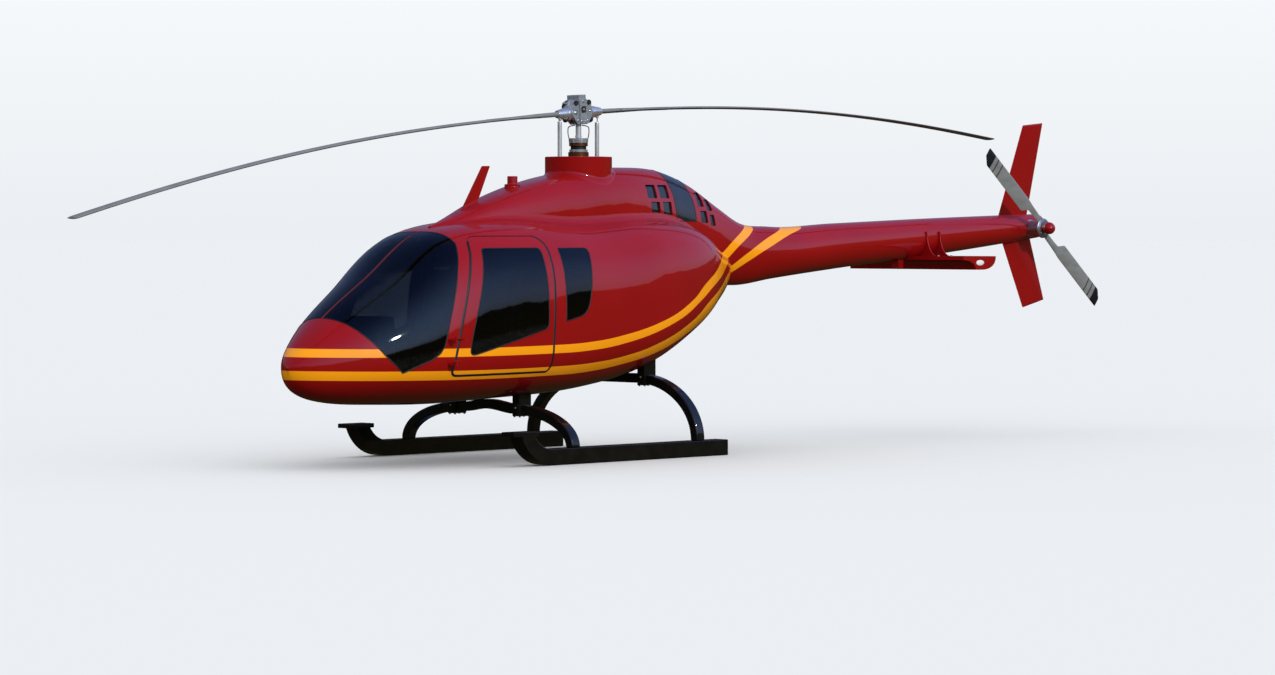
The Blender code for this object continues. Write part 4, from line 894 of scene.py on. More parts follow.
# %% Doors and glass
pane_shell = carved(outer.copy(), egg("pane_inner", PANE))
door_shell = carved(outer.copy(), egg("door_inner", DOOR_WALL))
for side, sign in SIDES.items():
    low, high = sorted((sign * SIDE_NEAR, sign * SIDE_FAR))
    keep = side_prism("door_keep", grown(DOOR_OUTLINE, -DOOR_GAP), low, high)
    keep = carved(keep, drum("door_drum", sign, DOOR_GAP), "INTERSECT")
    door = carved(door_shell.copy(), keep, "INTERSECT")
    rim_of_door = door.copy()
    door = carved(door, side_prism("door_glass_cut", DOOR_GLASS, low, high))
    polish(add_piece("door_skin_" + side, door, BODY_PAINT, "door_" + side, ["door_" + side]),
           egg_section)
    seal("door_seal_" + side, rim_of_door, egg_section, "door_" + side, 0.023, 0.0025)
    keep = side_prism("pane_keep", grown(DOOR_GLASS, -GAP), low, high)
    pane = carved(pane_shell.copy(), keep, "INTERSECT")
    polish(add_piece("door_pane_" + side, pane, GLASS, "door_" + side,
                     ["door_window_" + side]), egg_section)
    seal("door_pane_seal_" + side, pane, egg_section, "door_" + side)
    keep = side_prism("pane_keep", grown(SIDE_GLASS, -GAP), low, high)
    pane = carved(pane_shell.copy(), keep, "INTERSECT")
    polish(add_piece("side_pane_" + side, pane, GLASS, "airframe", ["side_window_" + side]),
           egg_section)
    seal("side_pane_seal_" + side, pane, egg_section, "airframe")
    low, high = sorted((sign * (POST_HALF + GAP), sign * SIDE_FAR))
    keep = side_prism("pane_keep", grown(WINDSHIELD_OUTLINE, -GAP), low, high)
    pane = carved(pane_shell.copy(), keep, "INTERSECT")
    polish(add_piece("windshield_pane_" + side, pane, GLASS, "airframe",
                     ["windshield_" + side]), egg_section)
    seal("windshield_seal_" + side, pane, egg_section, "airframe", 0.012)
print("doors and six panes cut")

# %% [markdown]
# ## Door hinges
# Each real door hangs on two hinges whose pins stand on one upright line just outside the skin. A lug on
# the cabin carries the pin, and an arm on the door ends in an eye round it. The lugs are the CAD's own
# pieces; the arms are remade here, because the fine doors replace the CAD doors they belonged to.

# %% Hinge arms and pin heads
HINGE_HEIGHTS = {"low": 0.915, "high": 1.120}
PIN_R, KNUCKLE_R, LUG = 0.007, 0.017, 0.018
DOOR_FRONT = [(2.325, 0.785), (2.215, 1.29)]
for side, sign in SIDES.items():
    arms, heads = [], []
    for z in HINGE_HEIGHTS.values():
        (x_low, z_low), (x_high, z_high) = DOOR_FRONT
        edge = x_low + (x_high - x_low) * (z - z_low) / (z_high - z_low) - DOOR_GAP - 0.002
        skin = float(skin_half(edge, z))
        outline = [(HINGE_X, HINGE_Y - KNUCKLE_R), (HINGE_X, HINGE_Y + KNUCKLE_R),
                   (edge - 0.02, skin + 0.018), (edge - 0.07, skin + 0.010), (edge - 0.07, skin - 0.005),
                   (edge - 0.003, skin - 0.005), (edge - 0.001, skin + 0.012)]
        turned = np.array(outline) * (1, sign)
        arm = prism("arm", turned, (0, 0, z), (1, 0, 0), (0, 1, 0), LUG - 0.001)
        centre = (HINGE_X, sign * HINGE_Y, z)
        half = LUG / 2 - 0.0005
        ring = [(PIN_R + 0.001, -half), (KNUCKLE_R - 0.001, -half), (KNUCKLE_R, -half + 0.001),
                (KNUCKLE_R, half - 0.001), (KNUCKLE_R - 0.001, half), (PIN_R + 0.001, half)]
        bore = [(0, -0.03), (KNUCKLE_R - 0.001, -0.03), (KNUCKLE_R - 0.001, 0.03), (0, 0.03)]
        arms.append(carved(arm, lathe("bore", bore, centre)))
        arms.append(lathe("eye", ring, centre))
        heads.append(lathe("head", [(0, half + 0.0065), (0.0105, half + 0.0065), (0.0115, half + 0.0055),
                                    (0.0115, half + 0.0015), (0, half + 0.0015)], centre, sides=24))
    add_piece("hinge_arms_" + side, joined("arms", arms), BODY_PAINT, "door_" + side)
    add_piece("hinge_pin_heads_" + side, joined("heads", heads), BODY_PAINT, "airframe")
print("hinge arms made for", len(HINGE_HEIGHTS), "heights a side")

# %% [markdown]
# ## Cowling and boom
# One loft runs from the windshield top over the engine and down into the boom. The real one is a
# riveted skin with cooling openings, so it is closed off into a thin wall here, and the two sets of four
# openings and the dark band are cut through it, as on the machine.

# %% Cowling, dark band and boom
BOOM_START, BOOM_END = -2.10, UPPER_X[-1]
COWL_WALL, BOOM_WALL = 0.015, 0.012
BAND = [(-0.90, 2.70), (-0.98, 2.51), (-1.012, 2.38), (-1.025, 2.22), (-1.02, 2.00),
        (-1.33, 2.00), (-1.34, 2.19), (-1.332, 2.33), (-1.30, 2.43), (-1.22, 2.70)]
BAND_LOW = 2.13
QUADS = [(-0.580, -0.735, 2.465, 2.340), (-0.785, -0.945, 2.465, 2.340), (-0.620, -0.765, 2.308, 2.182),
         (-0.815, -0.960, 2.308, 2.182), (-1.400, -1.500, 2.400, 2.265), (-1.540, -1.630, 2.335, 2.226),
         (-1.415, -1.520, 2.226, 2.113), (-1.555, -1.630, 2.190, 2.085)]
COLLAR_R, COLLAR_TOP = 0.307, 2.718
cowl_walls = carved(upper_skin("cowl_outer", UPPER_X[0], BOOM_START),
                    upper_skin("cowl_inner", 1.55, BOOM_START - 0.05, COWL_WALL))
slot = carved(side_prism("band_slot", BAND, -0.6, 0.6), box("below_band", (-2, -1, 1.5), (0, 1, BAND_LOW)))
band_keep = carved(side_prism("band_keep", grown(BAND, -GAP), -0.6, 0.6),
                   box("below_band", (-2, -1, 1.5), (0, 1, BAND_LOW + GAP)))
band = carved(cowl_walls.copy(), band_keep, "INTERSECT")
quads = []
for x_high, x_low, z_high, z_low in QUADS:
    outline = [(x_high, z_high), (x_low, z_high), (x_low, z_low), (x_high, z_low)]
    quads.append(both_sides("quad", rounded(outline, [0.012] * 4, 4), 0.05, 0.6))
cowl = carved(carved(cowl_walls, slot), joined("quads", quads))
cowl = carved(cowl, outer.copy())
cowl = carved(cowl, lathe("well", [(0, 2.2), (COLLAR_R - 0.02, 2.2), (COLLAR_R - 0.02, 3.0), (0, 3.0)]))
polish(add_piece("cowling_skin", cowl, BOOM_PAINT, "airframe", ["cowling"]), upper_section)
polish(add_piece("grille_band_skin", band, GRILLE, "airframe", ["grille_band"]), upper_section)
seal("grille_band_seal", band, upper_section, "airframe", 0.010, 0.003)
boom = carved(upper_skin("boom_outer", BOOM_START - GAP, BOOM_END, 0, 120),
              upper_skin("boom_inner", BOOM_START + 0.1, BOOM_END + 0.08, BOOM_WALL, 60))
polish(add_piece("boom_skin", boom, BOOM_PAINT, "airframe", ["tail_boom"]), upper_section)
print("cowling", len(cowl.polygons), "faces, boom", len(boom.polygons))

# %% [markdown]
# ## The fillet where the cowling meets the cabin
# On the machine the two skins flow into each other over a hand's breadth. At each x the cowling's
# section is followed down to where it enters the egg; from there the fillet reaches a little way up the
# cowling and a little way out along the cabin, and a quadratic curve joins the two.

# %% Fillet


def fillet_grid(sign, reach, steps=110, across=12):
    """Rows of a quadratic curve from the cabin's skin to the cowling's, with the corner as its control.

    Each row is closed by one more point, deep under the skins, so that the strip is a solid.
    """
    rows, xs = [], np.linspace(1.70, -1.93, steps)
    fade = np.sin(np.linspace(0, math.pi, steps)) ** 0.35
    cowls = ring_grid(upper_section, xs, around=1440)
    eggs = ring_grid(egg_section, xs, around=1440)
    for x, size, upper_ring, egg_ring in zip(xs, fade * reach, cowls, eggs):
        half = np.roll(upper_ring, 360, 0)[:720]
        out = skin_value(egg_section, half)[0] - 1
        corner = half[np.argmax(out > 0)]
        up_run = np.linalg.norm(half - corner, axis=1)
        top = half[np.argmax((out > 0) & (up_run > size))]
        body = egg_ring[:361]
        near = np.argmin(np.linalg.norm(body - corner, axis=1))
        down_run = np.linalg.norm(body - corner, axis=1)
        foot = body[near - np.argmax(down_run[near::-1] > size)]
        s = np.linspace(0, 1, across)[:, None]
        rows.append(foot * (1 - s) ** 2 + corner * 2 * s * (1 - s) + top * s**2)
    grid = np.array(rows)
    middle = (grid[:, :1] + grid[:, -1:]) / 2
    under = middle + (grid[:, [across // 2]] - middle) * 3.2
    grid = np.concatenate([grid, under], 1)
    return grid * (1, sign, 1)


for side, sign in SIDES.items():
    strip = skin_mesh("fillet", fillet_grid(sign, 0.075))
    add_piece("cowl_fillet_" + side, strip, BOOM_PAINT, "airframe", sharp=50)
print("fillet strips of", len(strip.polygons), "faces")

# %% [markdown]
# ## Mast, collar and swashplate
# A red collar stands on the cowling round the mast. Inside it the swashplate carries two polished rods
# up to the grips. All of these are turned parts, so each is a profile on a lathe: a line of radii and
# heights, measured row by row on the photograph, with small chamfers where a real part has them.

# %% Collar with a fillet at its foot
HUB_Z = 3.120


def ringed(steps):
    """Outline of a stack of rings, each (radius, low, high), with edges eased by up to 1.5 mm."""
    profile = []
    for radius, low, high in steps:
        ease = min(0.0015, (high - low) / 3)
        profile += [(radius - ease, low), (radius, low + ease), (radius, high - ease), (radius - ease, high)]
    return profile


COLLAR_FOOT = 2.40
lip = [(COLLAR_R - 0.013, COLLAR_FOOT), (COLLAR_R - 0.013, COLLAR_TOP - 0.004),
       (COLLAR_R - 0.010, COLLAR_TOP - 0.001), (COLLAR_R - 0.006, COLLAR_TOP),
       (COLLAR_R - 0.002, COLLAR_TOP - 0.0015), (COLLAR_R, COLLAR_TOP - 0.006), (COLLAR_R, COLLAR_FOOT)]
add_piece("collar_ring", lathe("collar", lip, sides=160), RED_PAINT, "airframe", ["mast_collar"])


def cowl_height(x, y):
    """Height of the cowling's skin over a point of the plan."""
    half, low, high, widest, power, _ = upper_section(x)
    share = np.clip(1 - (np.abs(y) / half) ** power, 0, 1) ** (1 / power)
    return widest + (high - widest) * share


FOOT, INSIDE = 0.030, COLLAR_R - 0.004
a = np.linspace(0, 2 * math.pi, 160, endpoint=False)
near = cowl_height(COLLAR_R * np.cos(a), COLLAR_R * np.sin(a))
rows = []
for s in np.linspace(0, 1, 9):
    out = COLLAR_R + FOOT * s**2
    x, y = out * np.cos(a), out * np.sin(a)
    z = cowl_height(x, y) * s**2 + (near + 0.002 * s) * (1 - s**2) + FOOT * (1 - s) ** 2
    rows.append(np.stack([x, y, z], -1))
inner = np.stack([INSIDE * np.cos(a), INSIDE * np.sin(a), rows[0][:, 2] - 0.02], -1)
foot = np.array([inner] + rows + [rows[-1] - (0, 0, 0.012)])
add_piece("collar_fillet", place("collar_fillet", foot, grid_faces(len(foot), 160, True, True)), RED_PAINT,
          "airframe", sharp=60)
print("collar of radius", COLLAR_R)

# %% Mast, sleeve and swashplate
MAST_R, BALL_R = 0.026, 0.048
shaft = [(0, 2.36), (MAST_R, 2.36), (MAST_R, 2.895), (MAST_R + 0.004, 2.897), (MAST_R + 0.004, 2.909),
         (MAST_R, 2.911), (MAST_R, HUB_Z - 0.04)]
shaft += [(BALL_R * math.sin(t), HUB_Z - BALL_R * math.cos(t)) for t in np.linspace(0.65, 3.0, 14)]
shaft.append((0, HUB_Z + BALL_R))
add_piece("mast_shaft", lathe("mast", shaft), ROD, "mast", ["mast"])
STACK = [("base", BRONZE, [(0.094, 2.716, 2.761)]), ("lower_ring", STEEL, [(0.084, 2.761, 2.786)]),
         ("groove", RUBBER, [(0.072, 2.786, 2.815)]), ("middle_ring", BRONZE, [(0.086, 2.815, 2.845)]),
         ("upper_ring", STEEL, [(0.088, 2.845, 2.862), (0.090, 2.862, 2.8875)])]
for name, finish, rings in STACK:
    profile = [(MAST_R + 0.0004, rings[0][1])] + ringed(rings) + [(MAST_R + 0.0004, rings[-1][2])]
    add_piece("sleeve_" + name, lathe(name, profile, sides=64), finish, "mast",
              ["mast_sleeve"] if name == "base" else ())
PLATES = {"lower": [(0.145, 2.60, 2.716)],
          "plate": [(0.280, 2.602, 2.612), (0.262, 2.612, 2.616), (0.200, 2.616, 2.628)]}
for name, rings in PLATES.items():
    profile = [(MAST_R + 0.0005, rings[0][1])] + ringed(rings) + [(MAST_R + 0.0005, rings[-1][2])]
    finish = BRONZE if name == "lower" else DARK_STEEL
    add_piece("swash_" + name, lathe(name, profile, sides=72), finish, "mast",
              ["swashplate"] if name == "plate" else ())

# %% Pitch rods with their rod ends, and the scissor loops
ROTOR_TURN, DISC_TILT = math.radians(-1.1), math.radians(4.04)
LINK_R, LINK_OUT, LINK_TOP = 0.020, 0.236, HUB_Z - 0.082


def about_mast(points, turn):
    """Points turned about the mast's axis."""
    c, s = math.cos(turn), math.sin(turn)
    x, y, z = np.asarray(points, float).T
    return np.stack([x * c - y * s, x * s + y * c, z], -1)


for k, name in enumerate(("front", "rear")):
    centre = about_mast([(LINK_OUT, 0, 0)], ROTOR_TURN + math.pi * k)[0]
    rod = [(0, 2.629), (0.013, 2.629), (0.013, 2.650), (LINK_R, 2.656), (LINK_R, LINK_TOP - 0.050),
           (0.0205, LINK_TOP - 0.049), (0.0205, LINK_TOP - 0.030), (LINK_R, LINK_TOP - 0.029),
           (LINK_R, LINK_TOP - 0.006), (0.0185, LINK_TOP), (0.0158, LINK_TOP), (0.0155, LINK_TOP - 0.080),
           (0, LINK_TOP - 0.080)]
    add_piece("pitch_rod_" + name, lathe("rod", rod, centre, sides=36), ROD, "mast",
              ["pitch_link_" + name])
LOOP_LINE = np.array([(0.085, 2.885), (0.094, 2.92), (0.096, 2.96), (0.090, 2.99), (0.060, 3.003),
                      (0.030, 3.005)])
LOOP_TURN, WIRE_R = math.radians(-45), 0.0045
run = np.linspace(0, len(LOOP_LINE) - 1, 40)
r, z = (curve_through(run, np.arange(len(LOOP_LINE)), LOOP_LINE[:, i]) for i in (0, 1))
loops = []
for sign in (1, -1):
    for y in (-0.012, 0.012):
        wire = about_mast(np.stack([sign * r, r * 0 + y, z], -1), LOOP_TURN)
        loops.append(tube("loop", wire, WIRE_R, 10))
add_piece("scissor_loops", joined("loops", loops), DARK_STEEL, "mast")
print("rods end", round(LINK_TOP, 3), "m above the ground")

# %% [markdown]
# ## The rotor head
# The teetering head is a machined block on the mast's end, with a bearing, bolts, lightening holes and
# two cones that grip the blades. It stands square to the disc, which leans four degrees forwards, so
# its parts are made flat, round the disc's centre, and then turned by one matrix.

# %% Head block
tilt_turn = np.array(Matrix.Rotation(DISC_TILT, 3, "Y") @ Matrix.Rotation(ROTOR_TURN, 3, "Z"))


def onto_disc(mesh, half_turn=False):
    """Turns a mesh made round the disc's centre into its place; half a turn first gives the rear one."""
    points = points_of(mesh) - (MAST_X, 0, 0)
    if half_turn:
        points = points * (-1, -1, 1)
    points = points @ tilt_turn.T + (MAST_X, 0, HUB_Z)
    mesh.vertices.foreach_set("co", points.ravel())
    mesh.update()
    return mesh


def hole(centre, direction, radius, length):
    """A rod round a centre, to cut with."""
    start = np.array(centre, float) - np.array(direction, float) * length / 2
    return lathe("hole", [(0, 0), (radius, 0), (radius, length), (0, length)], start, direction, 32)


def bolt(centre, direction, radius, high):
    """A washer and a six-sided head, standing on a face."""
    wide, thin = radius * 1.25, radius * 0.16
    washer = [(0, 0), (wide, 0), (wide, thin), (0, thin)]
    head = [(0, thin), (radius, thin), (radius, high * 0.85), (radius * 0.85, high), (0, high)]
    return [lathe("washer", washer, centre, direction, 24), lathe("head", head, centre, direction, 6)]


Y_AXIS, X_AXIS, Z_AXIS = (0, 1, 0), (1, 0, 0), (0, 0, 1)
yoke = [(0.120, -0.035), (0.120, 0.050), (0.076, 0.117), (-0.076, 0.117), (-0.120, 0.050), (-0.120, -0.035),
        (-0.060, -0.105), (0.060, -0.105)]
block = side_prism("yoke", rounded(yoke, [0.012] * 8, 4), -0.056, 0.056)
CAPS = ((0.086, 0.006, 0.023), (-0.090, 0.016, 0.015), (0.062, -0.066, 0.016), (-0.058, -0.070, 0.013))
for x, z, radius in CAPS:
    block = carved(block, hole((x, 0, z), Y_AXIS, radius, 0.4))
block = carved(block, lathe("mast_bore", [(0, -0.3), (0.052, -0.3), (0.052, 0.0), (0, 0.0)]))
TOP = [(0.045, 0.100), (0.045, 0.165), (-0.045, 0.165), (-0.045, 0.100)]
SHOULDER = np.array([(0.112, 0.060), (0.112, 0.098), (0.040, 0.128), (0.040, 0.060)])
head_parts = [block, side_prism("top", rounded(TOP, [0.006] * 4, 3), -0.093, 0.060)]
for flip, low, high in ((1, -0.093, -0.020), (-1, 0.020, 0.060)):
    shoulder = rounded(SHOULDER * (flip, 1), [0.006, 0.008, 0, 0], 3)
    head_parts.append(side_prism("shoulder", shoulder, low, high))
add_piece("rotor_head_block", onto_disc(joined("head", head_parts)), HUB_STEEL, "main_rotor",
          ["rotor_hub"], 30, 0.003)

# %% Cheeks, bearings and bolts of the head
CHEEK = rounded([(0.042, -0.100), (0.042, 0.128), (-0.042, 0.128), (-0.042, -0.100)], [0.010] * 4, 4)
BEARING = rounded([(0.027, 0.002), (0.027, 0.060), (-0.027, 0.060), (-0.027, 0.002)], [0.012] * 4, 5)
TRUNNION = [(0.030, 0), (0.056, 0), (0.060, 0.004), (0.060, 0.022), (0.056, 0.026), (0.030, 0.026)]
SIDE_NUB = [(0, 0), (0.020, 0), (0.023, 0.004), (0.023, 0.018), (0.019, 0.024), (0, 0.024)]
END_NUB = [(0, 0), (0.024, 0), (0.029, 0.005), (0.029, 0.022), (0.022, 0.030), (0, 0.030)]
CHEEK_IN, CHEEK_OUT, BEARING_OUT = 0.054, 0.070, 0.076


def dome(radius, foot, rise, centre, direction):
    """A round cap: r = radius cos t, h = foot + rise sin t."""
    bow = [(radius * math.cos(t), foot + rise * math.sin(t)) for t in np.linspace(0, 1.5, 7)]
    return lathe("cap", [(0, 0)] + bow + [(0, foot + rise)], centre, direction, 32)


cheeks, dark, bright = [], [], []
for sign in (1, -1):
    outwards, along = (0, sign, 0), (sign, 0, 0)
    cheeks.append(side_prism("cheek", CHEEK, *sorted((sign * CHEEK_IN, sign * CHEEK_OUT))))
    for x, z in ((0, 0.106), (0.026, -0.078), (-0.026, -0.078)):
        bright += bolt((x, sign * CHEEK_OUT, z), outwards, 0.011, 0.012)
    dark.append(side_prism("bearing", BEARING, *sorted((sign * (CHEEK_OUT - 0.002), sign * BEARING_OUT))))
    bright += bolt((0, sign * BEARING_OUT, 0.031), outwards, 0.009, 0.008)
    bright += [dome(radius * 0.86, 0.004, 0.011, (x, sign * 0.048, z), outwards) for x, z, radius in CAPS]
    dark += [lathe("nub", SIDE_NUB, (x, sign * 0.050, 0.094), outwards, 24) for x in (0.080, -0.080)]
    cheeks.append(lathe("trunnion", TRUNNION, (sign * 0.112, -0.012, 0.016), along, 40))
    for y, z in ((0.034, -0.062), (-0.058, -0.052), (-0.062, 0.062)):
        dark.append(lathe("nub", END_NUB, (sign * 0.100, y, z), along, 24))
    for y, z in ((0.020, -0.080), (-0.012, 0.052)):
        bright.append(dome(0.018, 0.018, 0.012, (sign * 0.096, y, z), along))
for x, y in ((0.026, -0.070), (-0.026, -0.070), (0.026, 0.036), (-0.026, 0.036)):
    bright += bolt((x, y, 0.154), Z_AXIS, 0.009, 0.010)
add_piece("rotor_head_cheeks", onto_disc(joined("cheeks", cheeks)), HUB_STEEL, "main_rotor",
          (), 30, 0.002)
add_piece("rotor_head_bearings", onto_disc(joined("dark", dark)), DARK_STEEL, "main_rotor")
add_piece("rotor_head_bolts", onto_disc(joined("bright", bright)), STEEL, "main_rotor",
          sharp=30)

# %% Grips
CONE = [(0, 0.1203), (0.060, 0.1203), (0.066, 0.126), (0.066, 0.140), (0.052, 0.150), (0.054, 0.166),
        (0.056, 0.172), (0.036, 0.272), (0.033, 0.2747), (0, 0.2747)]
PITCH_PIN = [(0, -0.035), (0.016, -0.035), (0.016, -0.056), (0.0075, -0.060), (0.0060, -0.064),
             (0.0060, -0.106), (0, -0.108)]
ENDS = {"front": False, "rear": True}
for name, turned_round in ENDS.items():
    grip = onto_disc(lathe("grip", CONE, (0, 0, 0), X_AXIS, 48), turned_round)
    add_piece("grip_cone_" + name, grip, STEEL, "main_rotor", ["grip_" + name])
    pin = onto_disc(lathe("pin", PITCH_PIN, (LINK_OUT, 0, 0), Z_AXIS, 24), turned_round)
    add_piece("pitch_pin_" + name, pin, ROD, "main_rotor")
print("head, cheeks, bearings, bolts and grips made")

# %% [markdown]
# ## Blades
# A blade is a stack of aerofoil sections along its span. The main blades droop under their own weight,
# so the sections follow a curve measured on the photograph. The tail blades step in to a narrow root
# and have black tips with a band on each side, painted by distance from the hub.

# %% Foil sections


def foil(name, stations, count=40, spin=None):
    """A loft over stations (r, leading, trailing, thickness, height).

    Across = middle + half chord cos a, and up = height + thickness/2 sin a (.75 + .25 cos a).
    """
    r, lead, trail, thick, height = np.array(stations, float).T[:, :, None]
    a = np.linspace(0, 2 * math.pi, count, endpoint=False)[None]
    across = (lead + trail) / 2 + (lead - trail) / 2 * np.cos(a)
    up = height + thick / 2 * np.sin(a) * (0.75 + 0.25 * np.cos(a))
    grid = np.stack(np.broadcast_arrays(r, across, up), -1)
    return skin_mesh(name, grid if spin is None else grid @ spin.T)


ROTOR_R, BLADE_ROOT_R = 5.787, 0.275
CHORD, BLADE_THICK, ROOT_CHORD, ROOT_THICK = 0.146, 0.036, 0.070, 0.056
DROOP = (0.304, 0.500, -0.241)


def drooped(r):
    """How far a blade hangs at r: a polynomial in s = r / radius, without a slope at the hub."""
    s = np.asarray(r) / ROTOR_R
    return DROOP[0] * s**2 + DROOP[1] * s**3 + DROOP[2] * s**4


def thickened(r):
    """The blade's growth from its round root to its full section."""
    return np.clip((r - 0.40) / 0.40, 0, 1)


def blade_sections():
    """Chord, thickness and droop along a main blade, with a rounded tip."""
    r = np.concatenate([np.linspace(BLADE_ROOT_R, 1.0, 16), np.linspace(1.1, ROTOR_R - 0.05, 60),
                        ROTOR_R - 0.05 + 0.05 * np.sin(np.linspace(0.15, math.pi / 2, 8))])
    grow = thickened(r)
    tip = np.sqrt(np.clip(1 - (np.clip(r - ROTOR_R + 0.05, 0, 1) / 0.0515) ** 2, 0, 1))
    chord = (ROOT_CHORD + (CHORD - ROOT_CHORD) * grow) * (0.55 + 0.45 * tip)
    thick = (ROOT_THICK + (BLADE_THICK - ROOT_THICK) * grow) * (0.35 + 0.65 * tip)
    return np.stack([r, chord / 2, -chord / 2, thick, -drooped(r)], -1)


def blade_paint(name, along, start, black_from, bands):
    """Grey blade paint; past a distance from the hub it is black, and each band is a darker line."""
    made, tree, shader = new_material(name)
    spot = object_place(tree)
    away = add_node(tree, "ShaderNodeVectorMath", [spot, start], operation="SUBTRACT").outputs[0]
    reach = add_node(tree, "ShaderNodeVectorMath", [away, along], operation="DOT_PRODUCT").outputs["Value"]
    reach = sums(tree, "ABSOLUTE", reach)
    cloud = noise(tree, object_place(tree, (3, 3, 9)), 2.0, 6.0)
    grey = ramp(tree, cloud, [(0.3, (0.190, 0.200, 0.205)), (0.7, (0.245, 0.255, 0.260))])
    dark = add_node(tree, "ShaderNodeMapRange", [reach, black_from - 0.001, black_from + 0.001, 0, 1])
    colour = mixed(tree, dark.outputs[0], grey, (0.007, 0.007, 0.009))
    for at in bands:
        off = sums(tree, "ABSOLUTE", sums(tree, "SUBTRACT", reach, at))
        line = add_node(tree, "ShaderNodeMapRange", [off, 0.006, 0.009, 1, 0]).outputs[0]
        colour = mixed(tree, line, colour, (0.035, 0.035, 0.030))
    tree.links.new(colour, shader.inputs["Base Color"])
    rough = add_node(tree, "ShaderNodeMapRange", [cloud, 0.2, 0.8, 0.26, 0.42]).outputs[0]
    tree.links.new(rough, shader.inputs["Roughness"])
    shader.inputs["Metallic"].default_value = 0.15
    bump(tree, shader, noise(tree, spot, 90.0, 2.0), 0.03, 0.0003)
    return made


MAIN_BLADE = blade_paint("main blade grey", (1, 0, 0), (MAST_X, 0, 0), ROTOR_R - 0.045, [])
r = np.linspace(0.50, 1.15, 24)
half = 0.060 * np.sqrt(np.clip(1 - ((r - 0.50) / 0.66) ** 2, 0, 1)) + 0.004
thick = ROOT_THICK + (BLADE_THICK - ROOT_THICK) * thickened(r)
DOUBLER = np.stack([r, half, -half, thick + 0.003, -drooped(r)], -1)
for name, turned_round in ENDS.items():
    blade = onto_disc(foil("blade", blade_sections()), turned_round)
    add_piece("main_blade_" + name, blade, MAIN_BLADE, "main_rotor", ["blade_" + name])
    doubler = onto_disc(foil("doubler", DOUBLER), turned_round)
    add_piece("blade_doubler_" + name, doubler, MAIN_BLADE, "main_rotor")
print("main blades of radius", ROTOR_R)

# %% Tail rotor
TAIL_HUB = np.array((-6.455, 0.280, 2.060))
TAIL_R, TAIL_TURN = 1.178, math.radians(39.4)
TAIL_RING, TAIL_RING_HALF, TAIL_CAP_R = 0.100, 0.0175, 0.062
along_x, along_z = math.cos(TAIL_TURN), math.sin(TAIL_TURN)
TAIL_BLADE = blade_paint("tail blade grey", (along_x, 0, along_z), tuple(TAIL_HUB + (MAST_X, 0, 0)), 1.06,
                         [0.92, 1.0])
tail_stations = [(TAIL_RING - 0.004, 0.062, -0.006, 0.028, 0), (0.20, 0.066, -0.006, 0.027, 0),
                 (0.30, 0.072, -0.010, 0.025, 0), (0.315, 0.074, -0.018, 0.024, 0),
                 (0.385, 0.082, -0.084, 0.023, 0), (0.40, 0.083, -0.088, 0.022, 0)]
tail_stations += [(r, 0.083, -0.088, 0.022, 0) for r in np.linspace(0.45, TAIL_R - 0.075, 24)]
tail_stations += [(TAIL_R - 0.065, 0.083, -0.084, 0.020, 0), (TAIL_R - 0.002, 0.082, -0.022, 0.015, 0),
                  (TAIL_R, 0.079, -0.020, 0.011, 0)]
for k, name in enumerate(("tail_blade_upper", "tail_blade_lower")):
    turn = TAIL_TURN + math.pi * k
    spin = np.array(Matrix.Rotation(-turn, 3, "Y") @ Matrix.Rotation(math.pi / 2, 3, "X"))
    mesh = foil(name, tail_stations, 32, spin)
    mesh.transform(Matrix.Translation(TAIL_HUB))
    add_piece(name + "_skin", mesh, TAIL_BLADE, "tail_rotor", [name], 30)
x, y, z = TAIL_HUB
back_y, front_y = y - TAIL_RING_HALF, y + TAIL_RING_HALF
ring = [(0.0227, back_y), (TAIL_RING - 0.006, back_y), (TAIL_RING, back_y + 0.005),
        (TAIL_RING, front_y - 0.011), (TAIL_RING - 0.006, front_y - 0.006), (0.082, front_y - 0.004),
        (0.078, front_y), (0.0227, front_y)]
add_piece("tail_ring", lathe("ring", ring, (x, 0, z), Y_AXIS, 72), ALLOY, "tail_rotor",
          ["tail_rotor_hub"], 30)
cap = [(0, front_y + 0.0003), (0.040, front_y + 0.0003), (0.044, front_y + 0.006)]
cap += [(TAIL_CAP_R * math.cos(t), front_y + TAIL_CAP_R + TAIL_CAP_R * math.sin(t))
        for t in np.linspace(-0.72, 1.52, 18)]
cap.append((0, front_y + 2 * TAIL_CAP_R))
add_piece("tail_cap", lathe("cap", cap, (x, 0, z), Y_AXIS, 48), RED_PAINT, "tail_rotor",
          ["tail_rotor_cap"])
nuts = []
for t in np.linspace(0, 2 * math.pi, 7)[:-1] + 0.3:
    nuts += bolt((x + 0.068 * math.cos(t), front_y, z + 0.068 * math.sin(t)), Y_AXIS, 0.006, 0.006)
add_piece("tail_ring_bolts", joined("nuts", nuts), STEEL, "tail_rotor", sharp=30)
case = [(0, 0.0), (0.085, 0.0), (0.083, 0.10), (0.090, 0.104), (0.090, 0.114), (0.079, 0.118),
        (0.068, back_y - 0.012), (0.060, back_y - 0.006), (0.0225, back_y - 0.006), (0.0220, front_y - 0.010),
        (0, front_y - 0.010)]
add_piece("tail_gear_case", lathe("case", case, (x, 0, z), Y_AXIS, 48), ALLOY, "airframe",
          ["tail_gearbox"], 30)
print("tail rotor made at", TAIL_HUB.tolist())

# %% [markdown]
# ## Fins and stabiliser
# The fins are thin symmetrical aerofoils that lean back, one up and one down. The stabiliser under the
# boom is a wing whose belly is rounded, with a lamp in each end and four curved webs up to the boom. A
# loft between a root and a tip gives each fin, and a fine side outline gives the stabiliser.

